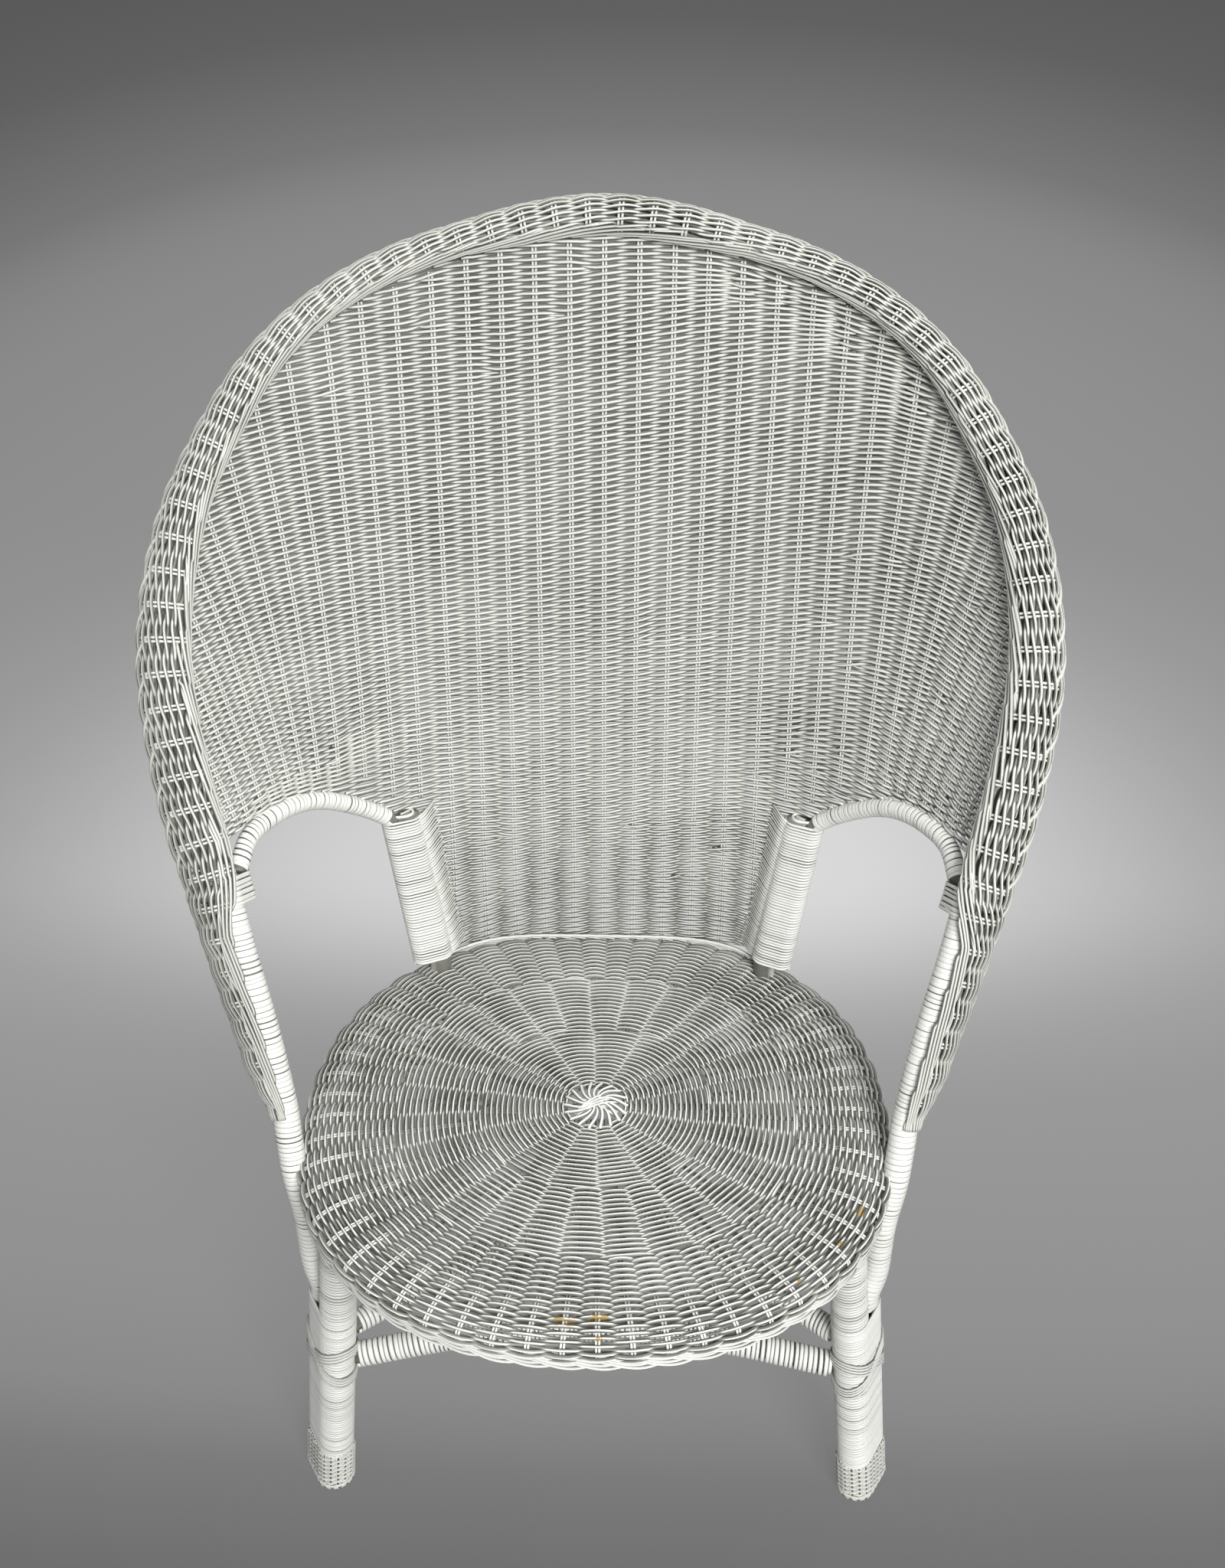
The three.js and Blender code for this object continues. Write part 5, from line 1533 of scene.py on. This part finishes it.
@dataclass
class RearLegs(Winding):
    """The rear legs, the wrapped posts of the back and the side arches."""

    def build(self, seed: int = 47) -> None:
        """Winds the rear legs, posts and arches.

        Args:
            seed: Seed of the strands' unevenness.
        """
        s = self.shape
        for side in Side:
            rng = np.random.default_rng(seed + side.value)
            w = side.word
            leg = StrandMesh(s, 8)
            self.around(leg, s.rear_leg, s.rear_leg.share_at_height(50),
                        s.rear_leg.share_at_height(392), s.rear_radius, 3.6, 2.4, rng, 18, 1.0,
                        0.2, side)
            self.place(leg, f"rear_leg_reeds_{w}", "cane", f"rear_leg_wrap_{w}")
            post = StrandMesh(s, 8)
            self.around_pair(post, s.post(0.0), s.post(1.02), s.post_offset,
                             (s.rear_radius, s.arch_radius), 3.0, 2.6, rng, side, 1.0, 0.15, 0.0,
                             6.0, 0.85)
            self.tails(post, rng, side)
            self.place(post, f"back_post_reeds_{w}", "cane", f"back_post_wrap_{w}")
            arch = StrandMesh(s, 8)
            low = s.arch.share_at_height(s.post_head[2] + 2)
            self.around(arch, s.arch, low, 0.992, s.arch_radius, 4.8, 1.2, rng, 18, 0.35, 0.4, side,
                        0.05)
            low, high = (s.hoop.at(s.hoop.share_at_height(z)) for z in (629.0, 652.0))
            self.around_pair(arch, low, high, s.arch_end_offset,
                             (s.hoop_radius + 1, s.arch_radius + 1), 3.8, 1.5, rng, side, 0.5, 0.25)
            self.place(arch, f"arch_strips_{w}", "cane", f"arm_arch_wrap_{w}")
            foot, knee = np.array([*s.rear_foot, 0.0]), np.array(s.rear_knee)
            self.sock(side, foot, foot + (knee - foot) * 0.3, np.zeros(3),
                      np.array([s.rear_radius, s.rear_radius]), rng, "rear")

    def tails(self, strands: StrandMesh, rng: Rng, side: Side) -> None:
        """Reeds that leave the post's winding and run into the panel's rows."""
        s = self.shape
        over = s.rear_radius + 3.6
        leave = 0.62 * over
        fall = math.sqrt(over**2 - leave**2)
        for share in np.arange(-0.02, 0.985, 3.0 / np.linalg.norm(s.post_head - s.post_foot)):
            base = s.post(share)
            reach = rng.uniform(20, 26)
            dx = np.concatenate([np.linspace(4, -leave, 6), np.linspace(-leave, -reach, 9)[1:]])
            x = base[0] + dx
            z = base[2] + (2.0 + 5.0 * share) * np.clip(-dx / reach, 0, 1) + rng.uniform(-0.3, 0.3)
            normal = s.back_normal(x, z)
            out = np.where(dx > -leave, np.sqrt(np.maximum(over**2 - dx**2, 0)),
                           fall + leave / fall * (dx + leave))
            out = np.maximum(out, 3.2 - 0.36 * np.maximum(-dx - 16, 0))
            path = s.on_back(x, z) + normal * out[:, None]
            # The tails take painted shade that deepens as they run in under the panel's rows.
            strands.strand(path * side.flip, normal * side.flip,
                           np.interp(-dx, (7, 19), (2.9, 1.8)), tone=float(rng.uniform(0, 1)),
                           side_shade=np.interp(-dx, (2, 16), (0.5, 1.9)))


@dataclass
class Stretchers(Winding):
    """The wrapped rods between the legs."""

    def build(self, seed: int = 61) -> None:
        """Makes the stretchers and braces.

        Args:
            seed: Seed of the strands' unevenness.
        """
        rng = np.random.default_rng(seed)
        front = self.box("front_stretcher")
        x, y, z = front[1][0], self.shape.leg(196.0)[1], 196.0
        points = [(-x, y, z), (-x / 2, y + 16.5, z + 12), (0, y + 22, z + 16),
                  (x / 2, y + 16.5, z + 12), (x, y, z)]
        self.wrapped("front_stretcher", SmoothLine(np.array(points)), 10.0, rng)
        rear = self.box("rear_stretcher")
        middle = (rear[0] + rear[1]) / 2
        ends = [(rear[0][0], *middle[1:]), tuple(middle), (rear[1][0], *middle[1:])]
        self.wrapped("rear_stretcher", SmoothLine(np.array(ends)), 10.0, rng)
        for side in Side:
            self.brace(side, rng)

    def box(self, node: str) -> tuple[Array, Array]:
        """Corners of a CAD node in the chair's own millimetres."""
        return tuple(np.array(c) / MM - [0, self.shape.shift_y, 0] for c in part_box(node))

    def brace(self, side: Side, rng: Rng) -> None:
        """One brace from a front leg to the opposite rear leg."""
        low, high = self.box(f"brace_{side.word}")
        sign = side.value
        x0, x1 = (high[0] - 3.5, low[0] + 3.5) if sign > 0 else (low[0] + 3.5, high[0] - 3.5)
        y0, y1 = low[1] + 7.5, high[1] - 7.5
        start, end = np.array([x0, y0, 226.0]), np.array([x1, y1, 226.0])
        share = x0 / (x0 - x1)
        rise = 11.9 * sign
        points = [start + (end - start) * s + UP * rise * lift for s, lift in (
            (0, 0), (share / 2, 0.55), (share, 1), ((1 + share) / 2, 0.55), (1, 0))]
        self.wrapped(f"brace_{side.word}", SmoothLine(np.array(points)), 9.0, rng)

    def wrapped(self, name: str, line: SmoothLine, radius: float,
                rng: Rng) -> None:
        """A rod and the reed wound round it."""
        core = Poles(self.shape, self.finishes).tube(line, radius * 0.98, 24, 12)
        self.place(core, f"{name}_core", "pole", name)
        reed = StrandMesh(self.shape, 8)
        self.around(reed, line, 0.004, 0.996, radius, 4.3, 2.6, rng, 16, 0.9, 0.25)
        self.place(reed, f"{name}_reed", "cane", f"{name}_wrap")


@dataclass
class Studio:
    """Floor, lamps, world and camera."""

    shape: ChairShape
    floor_size: float = 14.0
    bright_spot: Triple = (0.0, 0.9, 0.0)
    # Where the floor bends up into the wall, how tightly, and the wall's top
    bend: Triple = (2.2, 1.2, 7.0)
    # How far the backdrop's shade reaches: across, to the front, to the back and up the wall
    shade_reach: tuple[float, float, float, float] = (2.0, -0.75, 2.2, 0.75)
    # Painted light on the backdrop at shares of that reach: a pool of light round the bright spot
    shades: Table = (
        (0.0, 0.82), (0.25, 0.72), (0.48, 0.41), (0.7, 0.33), (0.9, 0.315), (1.1, 0.3),
        (1.3, 0.27), (1.42, 0.21), (1.7, 0.12), (2.4, 0.08))
    lit_share: float = 0.2
    camera_spot: Triple = (40.0, -1024.0, 1445.0)
    camera_drop: float = 33.0
    camera_yaw: float = -1.368
    lens: float = 35.156

    def build(self) -> None:
        """Sets the stage."""
        self.backdrop()
        self.lamps()
        self.camera()

    def backdrop(self) -> None:
        """A pale floor that runs up into a wall."""
        half = self.floor_size / 2
        start, radius, top = self.bend
        bent = [(start + radius * math.sin(a), radius - radius * math.cos(a))
                for a in np.linspace(0, math.pi / 2, 24)]
        line = [(-half, 0.0), (start, 0.0), *bent, (start + radius, top)]
        verts = [(x, y, z) for y, z in line for x in (-half, half)]
        faces = [(2 * i, 2 * i + 1, 2 * i + 3, 2 * i + 2) for i in range(len(line) - 1)]
        mesh = bpy.data.meshes.new("studio_floor")
        mesh.from_pydata(verts, [], faces)
        mesh.polygons.foreach_set("use_smooth", [True] * len(faces))
        floor = bpy.data.objects.new("studio_floor", mesh)
        bpy.context.scene.collection.objects.link(floor)
        mesh.materials.append(self.paper())

    def paper(self) -> bpy.types.Material:
        """The backdrop's paper, glowing to the eye with a painted pool of light that darkens away
        from a spot behind the chair.

        Returns:
            The material.
        """
        mat = bpy.data.materials.new("studio_paper")
        mat.use_nodes = True
        tree = mat.node_tree
        place = add_node(tree, "TexCoord", {}).outputs["Object"]
        away = add_node(tree, "VectorMath", {0: place, 1: self.bright_spot}, operation="SUBTRACT")
        parts = add_node(tree, "SeparateXYZ", {0: away.outputs["Vector"]}).outputs
        across, front, back, up = (calculate(tree, "DIVIDE", parts[axis], reach)
                                   for axis, reach in zip("XYYZ", self.shade_reach))
        shares = add_node(tree, "CombineXYZ", {
            "X": across, "Y": calculate(tree, "MAXIMUM", front, back), "Z": up})
        length = add_node(tree, "VectorMath", {0: shares.outputs["Vector"]}, operation="LENGTH")
        last = self.shades[-1][0]
        ramp = add_node(tree, "ValToRGB", {
            "Fac": calculate(tree, "DIVIDE", length.outputs["Value"], last)})
        ramp.color_ramp.interpolation = "B_SPLINE"
        stops = ramp.color_ramp.elements
        while len(stops) < len(self.shades):
            stops.new(1.0)
        for stop, (at, shade) in zip(stops, self.shades):
            stop.position = at / last
            stop.color = (shade, shade, shade, 1)
        shader = tree.nodes["Principled BSDF"]
        fill(shader, {"Roughness": 0.9, "Base Color": ramp.outputs["Color"]})
        # The glow shows the painted pool of light to camera, glossy and transmission rays; a share
        # of it stays lit by the lamps.
        glow = add_node(tree, "Emission", {"Color": ramp.outputs["Color"]})
        rays = add_node(tree, "LightPath", {}).outputs
        seen = rays["Is Camera Ray"]
        for kind in ("Is Glossy Ray", "Is Transmission Ray"):
            seen = calculate(tree, "MAXIMUM", seen, rays[kind])
        mix = add_node(tree, "MixShader", {
            "Fac": calculate(tree, "MULTIPLY", seen, 1 - self.lit_share),
            1: shader.outputs["BSDF"], 2: glow.outputs["Emission"]})
        fill(tree.nodes["Material Output"], {"Surface": mix.outputs["Shader"]})
        return mat

    def lamps(self) -> None:
        """Soft lamps and an even world."""
        world = bpy.data.worlds.new("studio_world")
        world.use_nodes = True
        fill(world.node_tree.nodes["Background"], {"Color": (0.9, 0.95, 1, 1), "Strength": 0.22})
        bpy.context.scene.world = world
        for name, spot, aim, size, power in (
                ("key", (1.0, -2.7, 2.4), (0, 0, 0.6), 1.4, 128.0),
                ("fill", (-2.3, -2.4, 1.5), (0, 0, 0.6), 1.6, 6.0),
                ("top", (0.2, 0.3, 3.2), (0, 0, 0.5), 1.8, 23.0)):
            data = bpy.data.lights.new(f"{name}_lamp", "AREA")
            data.size, data.energy = size, power
            lamp = bpy.data.objects.new(f"{name}_lamp", data)
            lamp.location = spot
            way = np.array(aim, float) - np.array(spot)
            lamp.rotation_euler = (math.acos(-way[2] / np.linalg.norm(way)), 0,
                                   math.atan2(-way[0], way[1]))
            bpy.context.scene.collection.objects.link(lamp)

    def camera(self) -> None:
        """The camera at the photograph's place."""
        data = bpy.data.cameras.new("view_camera")
        data.lens, data.sensor_width = self.lens, 36.0
        cam = bpy.data.objects.new("view_camera", data)
        x, y, z = self.camera_spot
        cam.location = (x * MM, (y + self.shape.shift_y) * MM, z * MM)
        cam.rotation_euler = Euler((math.radians(90 - self.camera_drop), 0,
                                    math.radians(-self.camera_yaw)))
        bpy.context.scene.collection.objects.link(cam)
        bpy.context.scene.camera = cam


def main() -> None:
    """Builds the chair and its studio."""
    logging.basicConfig(level=logging.INFO, format="%(name)s %(message)s")
    scene = bpy.context.scene
    scene.view_settings.view_transform = "Standard"
    shape = ChairShape()
    Studio(shape).build()
    layer = PaintLayer()
    spots = tuple((x * MM, (y + shape.shift_y) * MM, z * MM, radius * MM)
                  for x, y, z, radius in WORN_SPOTS)
    # All these finishes are one white paint: the seat's lighter copy is painted light, the rods'
    # darker copy painted shade.
    kinds = {
        "weave": PaintedCane("painted_weave", "painted_weave"),
        "stake": PaintedCane("painted_stakes", "painted_weave", paint=(0.82, 0.82, 0.77)),
        "seat": PaintedCane("painted_seat", "painted_weave", paint=(0.94, 0.94, 0.88),
                            bare_spots=spots),
        "cane": PaintedCane("painted_cane", "painted_cane", paint=(0.86, 0.86, 0.81),
                            painted_shade_share=0.8, rough=0.28),
        "pole": PaintedCane("painted_pole", "painted_pole", paint=(0.66, 0.66, 0.60)),
        "sock": PaintedCane("painted_sock", "painted_sock"),
    }
    finishes = {key: (kind.material(layer), kind.slot) for key, kind in kinds.items()}
    for part in (Poles, WovenBack, RolledBorder, WovenSeat, FrontLegs, RearLegs, Stretchers):
        part(shape, finishes).build()


if __name__ == "__main__":
    main()
